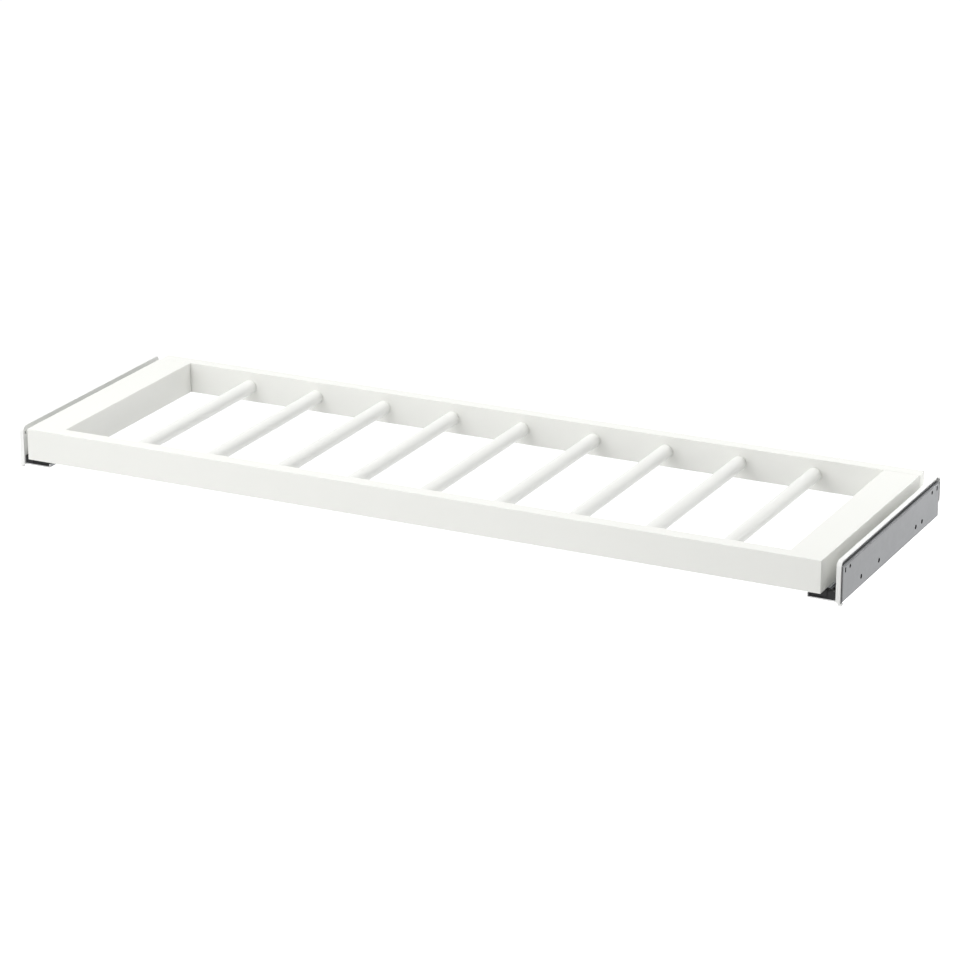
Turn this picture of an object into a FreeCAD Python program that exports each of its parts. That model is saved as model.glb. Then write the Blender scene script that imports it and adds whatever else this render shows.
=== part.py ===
"""Pull out trouser rack: a white board frame with round hanging rods that slides
out of a wardrobe on two under-mounted, full-extension ball runners.

Millimetres. +X is to the right seen from the front, +Y to the back of the
wardrobe, +Z up. The origin is the middle of the footprint, on the lowest plane.
Every part exists once per side where it has a side, and `side` is then +1 for the
right hand and -1 for the left hand.
"""
import FreeCAD, Part
import os
import re

import Sketcher

# Driving dimensions: alias, value, what it measures.
SIZES = [
    # whole rack
    ("overall_width", 962.0, "between the outer faces of the two steel side plates"),
    ("frame_depth", 300.0, "front face to back face of the board frame"),
    ("board_height", 35.3, "height of every board of the frame"),
    ("board_thickness", 16.0, "front and back board, front to back"),
    ("side_board_width", 39.5, "side boards, left to right"),
    ("side_gap", 12.0, "side face of the frame to the inner face of the rail cover"),
    ("rail_thickness", 6.5, "inner face of the rail cover to the outer face of its steel plate"),
    ("runner_height", 11.1, "underside of the steel flange to underside of the frame"),
    ("toe_drop", 3.1, "how far the toe of the cover hangs below the steel flange"),
    ("edge_radius", 0.6, "rounding of the board edges"),
    # hanging rods
    ("rod_count", 9, "hanging rods"),
    ("rod_diameter", 16.0, "outside of a rod"),
    ("rod_wall", 1.0, "wall of the rod tube"),
    ("rod_seat_depth", 10.0, "depth of a rod's blind seat in the front and back board"),
    ("seat_fit", 0.05, "radial clearance of rods, dowels, bolts, rivets and screws in their holes"),
    # corner joints
    ("dowel_diameter", 8.0, "beech dowel"),
    ("dowel_length", 30.0, "beech dowel"),
    ("dowel_seat", 10.0, "dowel length inside the front or back board"),
    ("low_dowel_inset", 9.5, "lower dowel, from the outer face of the side board"),
    ("low_dowel_height", 17.0, "lower dowel, above the underside of the frame"),
    ("high_dowel_height", 26.5, "upper dowel, above the underside of the frame"),
    ("cam_inset", 27.0, "cam and upper dowel, from the outer face of the side board"),
    ("cam_diameter", 15.0, "bore of the cam in the underside of the side board"),
    ("cam_depth", 13.0, "depth of the cam bore"),
    ("cam_setback", 24.0, "cam centre to the end of the side board"),
    ("bolt_height", 8.5, "cam bolt axis above the underside of the frame"),
    ("bolt_diameter", 6.0, "shank of the cam bolt"),
    ("bolt_head_diameter", 7.2, "head of the cam bolt"),
    ("bolt_neck_diameter", 4.0, "neck that the cam grips"),
    ("bolt_seat", 11.0, "bolt length screwed into the front or back board"),
    ("bolt_head_length", 4.0, "head, and neck, along the bolt"),
    ("cam_play", 0.1, "clearance round a bolt's head inside its cam"),
    # steel rail profile
    ("steel_thickness", 1.5, "sheet of the rail profile"),
    ("rail_setback", 13.0, "front face of the frame to the front edge of the steel"),
    ("rail_rear_setback", 5.5, "back face of the frame to the rear edge of the steel"),
    ("plate_top_drop", 7.7, "top of the frame to the top of the side plate"),
    ("plate_return", 4.2, "width of the return bent inwards along the top of the plate"),
    ("flange_reach", 19.5, "how far the flange reaches under the frame, from its side face"),
    ("lip_height", 4.6, "upturned inner lip of the flange, from its underside"),
    ("bend_radius", 1.8, "outside radius of the sheet's bends"),
    # holes of the side plate
    ("fixing_row_drop", 35.6, "top of the frame to the lower row of fixing holes"),
    ("fixing_hole", 5.0, "diameter of the lower fixing holes"),
    ("system_pitch", 32.0, "step of the hole rows in the wardrobe's sides"),
    ("wide_pair_start", 52.0, "front edge of the plate to the wide pair of fixing holes"),
    ("wide_pair_steps", 5, "steps between the holes of the wide pair"),
    ("close_pair_start", 103.0, "front edge of the plate to the close pair of fixing holes"),
    ("close_pair_steps", 4, "steps between the holes of the close pair"),
    ("upper_row_drop", 13.1, "top of the frame to the upper holes and the snap slots"),
    ("upper_hole", 4.2, "diameter of the two upper holes"),
    ("upper_hole_inset", 19.0, "front upper hole, from the front edge of the plate"),
    ("upper_rear_inset", 21.5, "rear upper hole, from the rear edge of the plate"),
    ("snap_inset", 6.2, "snap slots, from the front and rear edge of the plate"),
    ("snap_width", 2.4, "snap tongue, front to back"),
    ("snap_height", 4.8, "snap tongue, bottom to top"),
    ("snap_fit", 0.3, "clearance all round a snap tongue"),
    ("snap_recess", 0.4, "snap tongue's end below the plate's outer face"),
    # plastic rail cover
    ("cover_front_overhang", 2.5, "cover in front of the steel's front edge"),
    ("cover_rear_overhang", 4.8, "rear rim of the cover behind the steel's rear edge"),
    ("cover_top_drop", 2.3, "top of the frame to the top of the cover"),
    ("cover_depth", 6.2, "inner face of the cover to the edge of its rear rim and toe"),
    ("rim_setback", 1.3, "edge of the top and front rims, short of the rear rim's edge"),
    ("cover_wall", 1.2, "wall, top rim and rear rim of the cover"),
    ("front_wall", 2.2, "front rim of the cover, front to back"),
    ("cover_corner", 6.0, "radius of the upper corners"),
    ("cover_edge", 0.5, "rounding of the rim's outer edges"),
    ("cover_clearance", 0.3, "cover to the steel flange under it"),
    ("rear_rim_drop", 30.4, "top of the frame to the lower end of the rear rim"),
    ("toe_width", 1.4, "toe at its tip, left to right"),
    ("toe_length", 5.0, "toe below the steel, front to back"),
    ("window_size", 2.6, "square window beside the front snap tongue"),
    ("window_drop", 10.4, "top of the frame to the middle of the window"),
    ("window_inset", 4.6, "front of the cover to the middle of the window"),
    # ball runner, seen from the front: layers from the flange up, walls from the middle out
    ("slide_inset", 7.0, "side face of the frame to the middle line of the runner"),
    ("travel", 260.0, "full extension of the rack"),
    ("ball_diameter", 2.5, "steel ball"),
    ("ball_fit", 0.05, "radial clearance of a ball in its grooves and pockets"),
    ("balls_per_row", 8, "balls in each row of a cage"),
    ("ball_height", 5.2, "ball centres above the flange"),
    ("member_core", 3.3, "half the hollow of the rack member"),
    ("member_wall", 1.0, "wall of the rack member"),
    ("member_web", 1.2, "top web of the rack member"),
    ("member_half_width", 9.0, "half the top web of the rack member"),
    ("ball_gap", 1.8, "wall to wall where the balls run"),
    ("middle_wall", 1.4, "wall of the middle member"),
    ("middle_web", 1.0, "web of the middle member"),
    ("track_wall", 1.2, "wall of the fixed track"),
    ("track_web", 1.2, "web of the fixed track"),
    ("track_height", 7.8, "fixed track"),
    ("middle_drop", 0.4, "top of the track to the top of the middle member"),
    ("cage_strip", 0.4, "floor strip of a ball cage"),
    ("cage_wall", 0.6, "wall of a ball cage"),
    ("cage_margin", 6.0, "end of a cage to its first ball"),
    ("layer_gap", 0.2, "clearance above and below a cage's floor strip"),
    ("tab_length", 4.0, "stop tabs of the members, front to back"),
    ("tab_half_width", 2.6, "half the stop tabs"),
    ("stop_gap", 0.3, "clearance of every stop at its limit"),
    ("member_setback", 1.0, "front edge of the track to the front of the middle member"),
    # plastic end pieces
    ("block_wall", 7.5, "front guide block, front to back, across the runner"),
    ("block_length", 32.0, "front guide block along the outer cheek"),
    ("block_headroom", 0.7, "top of the guide block and cap to the underside of the frame"),
    ("block_sill", 1.5, "floor of the guide block's window"),
    ("block_fit", 0.3, "guide block to the lip, the cover, the track and the cap"),
    ("block_pocket_wall", 1.6, "walls round the pocket in the outer cheek"),
    ("cap_plug_length", 6.0, "plug of the member cap inside the rack member"),
    ("stop_length", 8.0, "rear stop block, front to back"),
    ("end_clearance", 0.5, "end pieces to the ends of the steel"),
    # screws and rivets
    ("fastener_count", 3, "screws, and rivets, on each side"),
    ("fastener_front_inset", 30.0, "front edge of the steel to the first screw and rivet"),
    ("fastener_rear_inset", 51.5, "rear edge of the steel to the last screw and rivet"),
    ("rivet_diameter", 4.0, "rivet shank"),
    ("rivet_head_diameter", 7.0, "rivet head under the flange"),
    ("rivet_head_height", 0.9, "rivet head under the flange"),
    ("screw_diameter", 3.5, "screw shank"),
    ("screw_length", 15.0, "screw, under its head"),
    ("screw_head_diameter", 5.8, "screw head"),
    ("screw_head_height", 1.8, "screw head"),
    ("drive_slot", 1.0, "width of the driving slot in screws and cams"),
]

# Formulas that several parts share, in terms of the sizes and of each other.
FORMULAS = {
    "frame_width": "overall_width - 2 * (side_gap + rail_thickness)",
    "inner_length": "frame_depth - 2 * board_thickness",
    "frame_base": "toe_drop + runner_height",
    "rod_gap": "(frame_width - 2 * side_board_width - rod_count * rod_diameter) / (rod_count + 1)",
    "rod_pitch": "rod_gap + rod_diameter",
    "rail_front": "rail_setback - frame_depth / 2",
    "rail_length": "frame_depth - rail_setback - rail_rear_setback",
    "cover_setback": "rail_setback - cover_front_overhang",
    "cover_length": "cover_front_overhang + rail_length + cover_rear_overhang",
    "flange_width": "rail_thickness + side_gap + flange_reach",
    "rail_to_top": "runner_height + board_height",
    "plate_height": "rail_to_top - plate_top_drop",
    "leg_top": "toe_drop + steel_thickness",
    "slide_x": "frame_width / 2 - slide_inset",
    "headroom": "runner_height - steel_thickness",
    # half widths of the runner's walls
    "rack_outer": "member_core + member_wall",
    "inner_ball_x": "rack_outer + ball_gap / 2",
    "middle_inner": "rack_outer + ball_gap",
    "middle_outer": "middle_inner + middle_wall",
    "outer_ball_x": "middle_outer + ball_gap / 2",
    "track_inner": "middle_outer + ball_gap",
    "track_outer": "track_inner + track_wall",
    # levels of the runner's layers above the flange
    "layer": "cage_strip + 2 * layer_gap",
    "middle_floor": "track_web + layer",
    "rack_floor": "middle_floor + middle_web + layer",
    "middle_top": "track_height - middle_drop",
    "groove_radius": "ball_diameter / 2 + ball_fit",
    # stations along the runner, from the front edge of the steel
    "fastener_run": "rail_length - fastener_front_inset - fastener_rear_inset",
    "fastener_spacing": "fastener_run / (fastener_count - 1)",
    "track_front": "block_wall + end_clearance",
    "track_rear": "rail_length - stop_length - end_clearance",
    "stop_front": "rail_length - stop_length",
    "member_rear": "stop_front - stop_gap",
    "middle_front": "track_front + member_setback",
    "half_travel": "travel / 2",
    "outer_cage_front": "track_front + tab_length + stop_gap + travel / 4",
    "outer_cage_length": "member_rear - track_front - 2 * (tab_length + stop_gap) - half_travel",
    "inner_cage_front": "middle_front + tab_length + stop_gap + travel / 4",
    "inner_cage_length": "member_rear - middle_front - 2 * (tab_length + stop_gap) - half_travel",
}

DOCUMENT = FreeCAD.newDocument("TrouserRack")
SIDES = {"left": -1, "right": 1}
ENDS = {"front": -1, "rear": 1}
ALONG_Y = {1: -90.0, -1: 90.0}  # turn about X that lays a cylinder along +Y or -Y


def fill_sheet():
    """Write the driving dimensions into the spreadsheet, one row each."""
    sheet = DOCUMENT.addObject("Spreadsheet::Sheet", "Sizes")
    for row, (alias, number, meaning) in enumerate(SIZES, start=1):
        sheet.set(f"A{row}", alias)
        sheet.set(f"B{row}", str(number))
        sheet.set(f"C{row}", meaning)
        sheet.setAlias(f"B{row}", alias)
    DOCUMENT.recompute()
    return sheet


SHEET = fill_sheet()
ALIASES = {alias for alias, _, _ in SIZES}


def expand(text):
    """Spell a formula out in the spreadsheet's own cells."""

    def word(match):
        name = match.group()
        if name in FORMULAS:
            return f"({expand(FORMULAS[name])})"
        return f"Sizes.{name}" if name in ALIASES else name

    return re.sub(r"[a-z_]+", word, text)


def value(text):
    """The number that a formula gives now."""
    return float(SHEET.evalExpression(expand(text)))


def bind(item, target, text):
    item.setExpression(target, expand(text))


def place(item, x="0", y="0", z="0"):
    for axis, text in zip("xyz", (x, y, z)):
        bind(item, f"Placement.Base.{axis}", text)
    return item


# --- sketches and features -----------------------------------------------------


def new_body(label):
    body = DOCUMENT.addObject("PartDesign::Body", label)
    body.Label = label
    return body


def new_sketch(body, role, offset="0"):
    """A sketch on one of the body's own origin planes, moved along its normal."""
    plane = next(item for item in body.Origin.OriginFeatures if item.Role == role)
    sketch = body.newObject("Sketcher::SketchObject", f"{body.Name}_sketch")
    sketch.AttachmentSupport = [(plane, "")]
    sketch.MapMode = "FlatFace"
    bind(sketch, "AttachmentOffset.Base.z", offset)
    return sketch


def pin(sketch, geometry, point, x, y):
    """Tie a point of the sketch to its two formulas."""
    for kind, text in (("DistanceX", x), ("DistanceY", y)):
        index = sketch.addConstraint(
            Sketcher.Constraint(kind, -1, 1, geometry, point, value(text))
        )
        name = f"{kind}_{geometry}_{point}"
        sketch.renameConstraint(index, name)
        bind(sketch, f"Constraints.{name}", text)


def polygon(sketch, corners):
    """A closed outline through the corners, each an (x, y) pair of formulas."""
    first = sketch.GeometryCount
    spots = [FreeCAD.Vector(value(x), value(y), 0) for x, y in corners]
    for here, there in zip(spots, spots[1:] + spots[:1]):
        sketch.addGeometry(Part.LineSegment(here, there))
    for step, (x, y) in enumerate(corners):
        line = first + step
        following = first + (step + 1) % len(corners)
        sketch.addConstraint(Sketcher.Constraint("Coincident", line, 2, following, 1))
        pin(sketch, line, 1, x, y)


def rectangle(sketch, x_low, x_high, y_low, y_high):
    polygon(sketch, [(x_low, y_low), (x_high, y_low), (x_high, y_high), (x_low, y_high)])


def circle(sketch, x, y, radius):
    middle = FreeCAD.Vector(value(x), value(y), 0)
    up = FreeCAD.Vector(0, 0, 1)
    geometry = sketch.addGeometry(Part.Circle(middle, up, value(radius)))
    pin(sketch, geometry, 3, x, y)
    index = sketch.addConstraint(Sketcher.Constraint("Radius", geometry, value(radius)))
    sketch.renameConstraint(index, f"Radius_{geometry}")
    bind(sketch, f"Constraints.Radius_{geometry}", radius)


def pad(body, sketch, length, reverse=False):
    feature = body.newObject("PartDesign::Pad", f"{body.Name}_pad")
    feature.Profile = sketch
    feature.Reversed = reverse
    bind(feature, "Length", length)
    DOCUMENT.recompute()
    return feature


def cut(body, sketch, depth=None, reverse=False):
    """Pocket to a depth, or both ways through everything when no depth is given."""
    before = body.Shape.Volume
    feature = body.newObject("PartDesign::Pocket", f"{body.Name}_pocket")
    feature.Profile = sketch
    feature.Reversed = reverse
    if depth is None:
        feature.Type = "ThroughAll"
        feature.Midplane = True
    else:
        bind(feature, "Length", depth)
    DOCUMENT.recompute()
    if not body.Shape.Volume < before:
        raise RuntimeError(f"{body.Label}: {feature.Name} cuts nothing")
    return feature


def edges_at(feature, direction, spots):
    """Names of the straight edges along a direction whose middles lie at the spots.

    A spot is one number for each axis, or None where any will do.
    """
    names = []
    for number, edge in enumerate(feature.Shape.Edges, start=1):
        if edge.Curve.TypeId != "Part::GeomLine":
            continue
        if abs(abs(edge.Curve.Direction.dot(direction)) - 1) > 1e-6:
            continue
        middle = edge.CenterOfMass
        if any(
            all(want is None or abs(got - want) < 1e-4 for got, want in zip(middle, spot))
            for spot in spots
        ):
            names.append(f"Edge{number}")
    return names


def round_edges(body, feature, names, radius):
    fillet = body.newObject("PartDesign::Fillet", f"{body.Name}_fillet")
    fillet.Base = (feature, names)
    bind(fillet, "Radius", radius)
    DOCUMENT.recompute()
    return fillet


def cylinder(name, radius, height, turn=0.0):
    """A round bar along +Z, or laid over by a turn about X."""
    item = DOCUMENT.addObject("Part::Cylinder", name)
    item.Placement = FreeCAD.Placement(
        FreeCAD.Vector(), FreeCAD.Rotation(FreeCAD.Vector(1, 0, 0), turn)
    )
    bind(item, "Radius", radius)
    bind(item, "Height", height)
    return item


def box(name, length, width, height):
    item = DOCUMENT.addObject("Part::Box", name)
    bind(item, "Length", length)
    bind(item, "Width", width)
    bind(item, "Height", height)
    return item


def fuse(name, pieces):
    item = DOCUMENT.addObject("Part::MultiFuse", name)
    item.Shapes = pieces
    return item


def subtract(name, base, tool):
    item = DOCUMENT.addObject("Part::Cut", name)
    item.Base = base
    item.Tool = tool
    return item


def group(label, pieces):
    """Identical small parts that share one node as separate solids."""
    item = DOCUMENT.addObject("Part::Compound", label)
    item.Label = label
    item.Links = pieces
    return item


# --- the board frame -------------------------------------------------------------


def corner_stations():
    """Hole places of the corner joints: x from the side board's outer face, height."""
    dowel = "dowel_diameter / 2 + seat_fit"
    return {
        "low_dowel": ("low_dowel_inset", "low_dowel_height", dowel),
        "high_dowel": ("cam_inset", "high_dowel_height", dowel),
        "bolt": ("cam_inset", "bolt_height", "bolt_diameter / 2 + seat_fit"),
    }


def rod_x(number):
    return f"(2 * {number} - rod_count + 1) / 2 * rod_pitch"


def add_cross_board(end):
    """Front or back board, with blind seats for rods, dowels and bolts inside."""
    body = new_body({"front": "front_board", "rear": "back_board"}[end])
    inner = {"front": "board_thickness", "rear": "0"}[end]
    sketch = new_sketch(body, "XY_Plane")
    rectangle(sketch, "-frame_width / 2", "frame_width / 2", "0", "board_thickness")
    slab = pad(body, sketch, "board_height")
    every_edge = [f"Edge{n}" for n in range(1, len(slab.Shape.Edges) + 1)]
    round_edges(body, slab, every_edge, "edge_radius")

    into_board = end == "front"
    seats = new_sketch(body, "XZ_Plane", f"-({inner})")
    for number in range(int(value("rod_count"))):
        circle(seats, rod_x(number), "board_height / 2", "rod_diameter / 2 + seat_fit")
    cut(body, seats, "rod_seat_depth", reverse=into_board)

    depths = {"low_dowel": "dowel_seat", "high_dowel": "dowel_seat", "bolt": "bolt_seat"}
    for name, (inset, height, radius) in corner_stations().items():
        holes = new_sketch(body, "XZ_Plane", f"-({inner})")
        for side in SIDES.values():
            circle(holes, f"{side} * (frame_width / 2 - {inset})", height, radius)
        cut(body, holes, f"{depths[name]} + seat_fit", reverse=into_board)
    front = {"front": "-frame_depth / 2", "rear": "frame_depth / 2 - board_thickness"}[end]
    return place(body, "0", front, "frame_base")


def fastener_stations():
    return [
        f"fastener_front_inset + {number} * fastener_spacing"
        for number in range(int(value("fastener_count")))
    ]


def add_side_board(hand, side):
    """Side board between the cross boards, bored for its joints and the runner screws."""
    body = new_body(f"{hand}_side_board")
    sketch = new_sketch(body, "XY_Plane")
    rectangle(sketch, f"-{side} * side_board_width", "0", "0", "inner_length")
    slab = pad(body, sketch, "board_height")
    along = FreeCAD.Vector(0, 1, 0)
    long_edges = edges_at(slab, along, [(None, None, None)])
    round_edges(body, slab, long_edges, "edge_radius")

    depths = {
        "low_dowel": "dowel_length - dowel_seat",
        "high_dowel": "dowel_length - dowel_seat",
        "bolt": "cam_setback + bolt_head_length",
    }
    widths = {"bolt": "bolt_head_diameter / 2 + seat_fit"}
    for end, forward in ENDS.items():
        for name, (inset, height, radius) in corner_stations().items():
            offset = {"front": "0", "rear": "-inner_length"}[end]
            hole = new_sketch(body, "XZ_Plane", offset)
            circle(hole, f"-{side} * {inset}", height, widths.get(name, radius))
            cut(body, hole, f"{depths[name]} + seat_fit", reverse=forward > 0)

    cams = new_sketch(body, "XY_Plane")
    for y in ("cam_setback", "inner_length - cam_setback"):
        circle(cams, f"-{side} * cam_inset", y, "cam_diameter / 2")
    cut(body, cams, "cam_depth", reverse=True)

    pilots = new_sketch(body, "XY_Plane")
    for station in fastener_stations():
        y = f"{station} + rail_setback - board_thickness"
        circle(pilots, f"-{side} * slide_inset", y, "screw_diameter / 2 + seat_fit")
    cut(body, pilots, "screw_length - member_web + end_clearance", reverse=True)
    return place(
        body,
        f"{side} * frame_width / 2",
        "board_thickness - frame_depth / 2",
        "frame_base",
    )


def add_rod(number):
    """One hanging rod: a round tube that ends in the seats of both cross boards."""
    body = new_body(f"hanging_rod_{number + 1}")
    sketch = new_sketch(body, "XZ_Plane")
    circle(sketch, "0", "0", "rod_diameter / 2")
    circle(sketch, "0", "0", "rod_diameter / 2 - rod_wall")
    length = "inner_length + 2 * (rod_seat_depth - seat_fit)"
    pad(body, sketch, length, reverse=True)
    front = "board_thickness - frame_depth / 2 - rod_seat_depth + seat_fit"
    return place(body, rod_x(number), front, "frame_base + board_height / 2")


def corner_places(inset):
    """The four frame corners: name, direction from joint to side board, x and joint y."""
    for hand, side in SIDES.items():
        for end, forward in ENDS.items():
            x = f"{side} * (frame_width / 2 - {inset})"
            yield f"{hand}_{end}", -forward, x, f"{forward} * inner_length / 2"


def add_corner_dowels():
    dowels = []
    for inset, height in (
        ("low_dowel_inset", "low_dowel_height"),
        ("cam_inset", "high_dowel_height"),
    ):
        for name, inward, x, joint in corner_places(inset):
            dowel = cylinder(f"dowel_{name}", "dowel_diameter / 2", "dowel_length", ALONG_Y[inward])
            start = f"{joint} - {inward} * dowel_seat"
            dowels.append(place(dowel, x, start, f"frame_base + {height}"))
    return group("corner_dowels", dowels)


def add_cam_bolts():
    """Bolts screwed into the cross boards, with a necked head for the cam."""
    reach = "cam_setback + bolt_head_length"
    bolts = []
    for name, inward, x, joint in corner_places("cam_inset"):
        height = "frame_base + bolt_height"
        pieces = []
        for part, radius, begin, finish in (
            ("shank", "bolt_diameter / 2", "-bolt_seat", f"{reach} - 2 * bolt_head_length"),
            ("neck", "bolt_neck_diameter / 2", "0", reach),
            ("head", "bolt_head_diameter / 2", f"{reach} - bolt_head_length", reach),
        ):
            bar = cylinder(f"{part}_{name}", radius, f"{finish} - ({begin})", ALONG_Y[inward])
            pieces.append(place(bar, x, f"{joint} + {inward} * ({begin})", height))
        bolts.append(fuse(f"bolt_{name}", pieces))
    return group("cam_bolts", bolts)


def add_cam_locks():
    """Round cams in the underside of the side boards, slotted round the bolt heads."""
    radius = "cam_diameter / 2 - seat_fit"
    slot = "(bolt_head_diameter + 2 * cam_play)"
    locks = []
    for name, inward, x, joint in corner_places("cam_inset"):
        y = f"{joint} + {inward} * cam_setback"
        disc = place(cylinder(f"cam_{name}", radius, "cam_depth - seat_fit"), x, y, "frame_base")
        mouth = box(f"cam_mouth_{name}", slot, "cam_diameter", slot)
        past_head = "(bolt_head_length + cam_play)"
        back = f"(cam_diameter - {past_head})" if inward > 0 else past_head
        low = f"frame_base + bolt_height - {slot} / 2"
        place(mouth, f"{x} - {slot} / 2", f"{y} - {back}", low)
        drive = box(f"cam_drive_{name}", "cam_diameter", "drive_slot", "drive_slot")
        place(drive, f"{x} - cam_diameter / 2", f"{y} - drive_slot / 2", "frame_base")
        tools = fuse(f"cam_tools_{name}", [mouth, drive])
        locks.append(subtract(f"cam_lock_{name}", disc, tools))
    return group("cam_locks", locks)


# --- the fixed rails --------------------------------------------------------------


def inwards(side, distance):
    """x of a point inside the outer face of the side plate."""
    return f"-{side} * ({distance})"


def add_rail_profile(hand, side):
    """Steel angle: side plate with a return on top, flange and lip under the frame."""
    body = new_body(f"{hand}_rail_profile")
    far, near = "flange_width", "flange_width - steel_thickness"
    outline = new_sketch(body, "XZ_Plane")
    polygon(
        outline,
        [
            ("0", "0"),
            (inwards(side, far), "0"),
            (inwards(side, far), "lip_height"),
            (inwards(side, near), "lip_height"),
            (inwards(side, near), "steel_thickness"),
            (inwards(side, "steel_thickness"), "steel_thickness"),
            (inwards(side, "steel_thickness"), "plate_height - steel_thickness"),
            (inwards(side, "plate_return"), "plate_height - steel_thickness"),
            (inwards(side, "plate_return"), "plate_height"),
            ("0", "plate_height"),
        ],
    )
    sheet = pad(body, outline, "rail_length", reverse=True)
    bends = [
        (0.0, None, 0.0),
        (0.0, None, value("plate_height")),
        (value(inwards(side, far)), None, 0.0),
    ]
    along = FreeCAD.Vector(0, 1, 0)
    round_edges(body, sheet, edges_at(sheet, along, bends), "bend_radius")

    holes = new_sketch(body, "YZ_Plane")
    lower, upper = "rail_to_top - fixing_row_drop", "rail_to_top - upper_row_drop"
    for pair in ("wide_pair", "close_pair"):
        rear_hole = f"{pair}_start + {pair}_steps * system_pitch"
        circle(holes, f"{pair}_start", lower, "fixing_hole / 2")
        circle(holes, rear_hole, lower, "fixing_hole / 2")
    circle(holes, "upper_hole_inset", upper, "upper_hole / 2")
    circle(holes, "rail_length - upper_rear_inset", upper, "upper_hole / 2")
    for middle in ("snap_inset", "rail_length - snap_inset"):
        half_width = "(snap_width / 2 + snap_fit)"
        half_height = "(snap_height / 2 + snap_fit)"
        rectangle(
            holes,
            f"{middle} - {half_width}",
            f"{middle} + {half_width}",
            f"{upper} - {half_height}",
            f"{upper} + {half_height}",
        )
    cut(body, holes)

    rivets = new_sketch(body, "XY_Plane")
    x = inwards(side, "rail_thickness + side_gap + slide_inset")
    for station in fastener_stations():
        circle(rivets, x, station, "rivet_diameter / 2 + seat_fit")
    cut(body, rivets)
    return place(body, f"{side} * overall_width / 2", "rail_front", "toe_drop")


def add_rail_cover(hand, side):
    """White plastic tray over the plate's inner side, snapped into its two slots."""
    body = new_body(f"{hand}_rail_cover")
    top = "frame_base + board_height - cover_top_drop"
    low = "leg_top + cover_clearance"
    step = "frame_base + board_height - rear_rim_drop"
    rim_low = f"{step} + cover_wall"
    outward = side < 0

    wall = new_sketch(body, "YZ_Plane")
    polygon(
        wall,
        [
            ("0", low),
            ("cover_length - cover_rear_overhang", low),
            ("cover_length - cover_rear_overhang", step),
            ("cover_length", step),
            ("cover_length", top),
            ("0", top),
        ],
    )
    pad(body, wall, "cover_wall", reverse=outward)
    rim = new_sketch(body, "YZ_Plane")
    polygon(
        rim,
        [
            ("0", low),
            ("front_wall", low),
            ("front_wall", f"{top} - cover_wall"),
            ("cover_length - cover_wall", f"{top} - cover_wall"),
            ("cover_length - cover_wall", rim_low),
            ("cover_length - cover_rear_overhang", rim_low),
            ("cover_length - cover_rear_overhang", step),
            ("cover_length", step),
            ("cover_length", top),
            ("0", top),
        ],
    )
    tray = pad(body, rim, "cover_depth", reverse=outward)

    across = FreeCAD.Vector(1, 0, 0)
    outer = [
        (None, 0.0, value(top)),
        (None, value("cover_length"), value(top)),
    ]
    tray = round_edges(body, tray, edges_at(tray, across, outer), "cover_corner")
    inner = [
        (None, value("front_wall"), value(f"{top} - cover_wall")),
        (None, value("cover_length - cover_wall"), value(f"{top} - cover_wall")),
    ]
    tray = round_edges(body, tray, edges_at(tray, across, inner), "cover_corner - cover_wall")
    brim = f"{side} * (cover_depth - rim_setback)"
    setback = new_sketch(body, "YZ_Plane", brim)
    rectangle(setback, "0", "cover_length - cover_corner - cover_wall", low, top)
    tray = cut(body, setback, "rim_setback", reverse=not outward)
    along = FreeCAD.Vector(0, 1, 0)
    brims = [(0.0, None, value(top)), (value(brim), None, value(top))]
    round_edges(body, tray, edges_at(tray, along, brims), "cover_edge")

    toe = new_sketch(body, "XZ_Plane")
    edge, tip = f"{side} * cover_depth", f"{side} * (cover_depth - toe_width)"
    polygon(
        toe,
        [
            ("0", low),
            ("0", "leg_top"),
            (tip, "0"),
            (edge, "0"),
            (edge, "toe_drop"),
            (brim, "toe_drop"),
            (brim, low),
        ],
    )
    pad(body, toe, "front_wall", reverse=True)
    under = "(toe_drop - cover_clearance)"
    foot = new_sketch(body, "XZ_Plane")
    polygon(
        foot,
        [
            (f"{tip} * (1 - {under} / leg_top)", under),
            (tip, "0"),
            (edge, "0"),
            (edge, under),
        ],
    )
    pad(body, foot, "toe_length", reverse=True)

    tongues = new_sketch(body, "YZ_Plane")
    row = "frame_base + board_height - upper_row_drop"
    for middle in (
        "cover_front_overhang + snap_inset",
        "cover_length - cover_rear_overhang - snap_inset",
    ):
        rectangle(
            tongues,
            f"{middle} - snap_width / 2",
            f"{middle} + snap_width / 2",
            f"{row} - snap_height / 2",
            f"{row} + snap_height / 2",
        )
    pad(body, tongues, "rail_thickness - snap_recess", reverse=outward)

    window = new_sketch(body, "YZ_Plane")
    height = "frame_base + board_height - window_drop"
    rectangle(
        window,
        "window_inset - window_size / 2",
        "window_inset + window_size / 2",
        f"{height} - window_size / 2",
        f"{height} + window_size / 2",
    )
    cut(body, window)
    x = f"{side} * (frame_width / 2 + side_gap)"
    return place(body, x, "cover_setback - frame_depth / 2", "0")


def add_grooves(body, centres):
    """Cut the round ball grooves along the whole length of a member."""
    grooves = new_sketch(body, "XZ_Plane")
    for x in centres:
        circle(grooves, x, "ball_height", "groove_radius")
        circle(grooves, f"-({x})", "ball_height", "groove_radius")
    cut(body, grooves)


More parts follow.
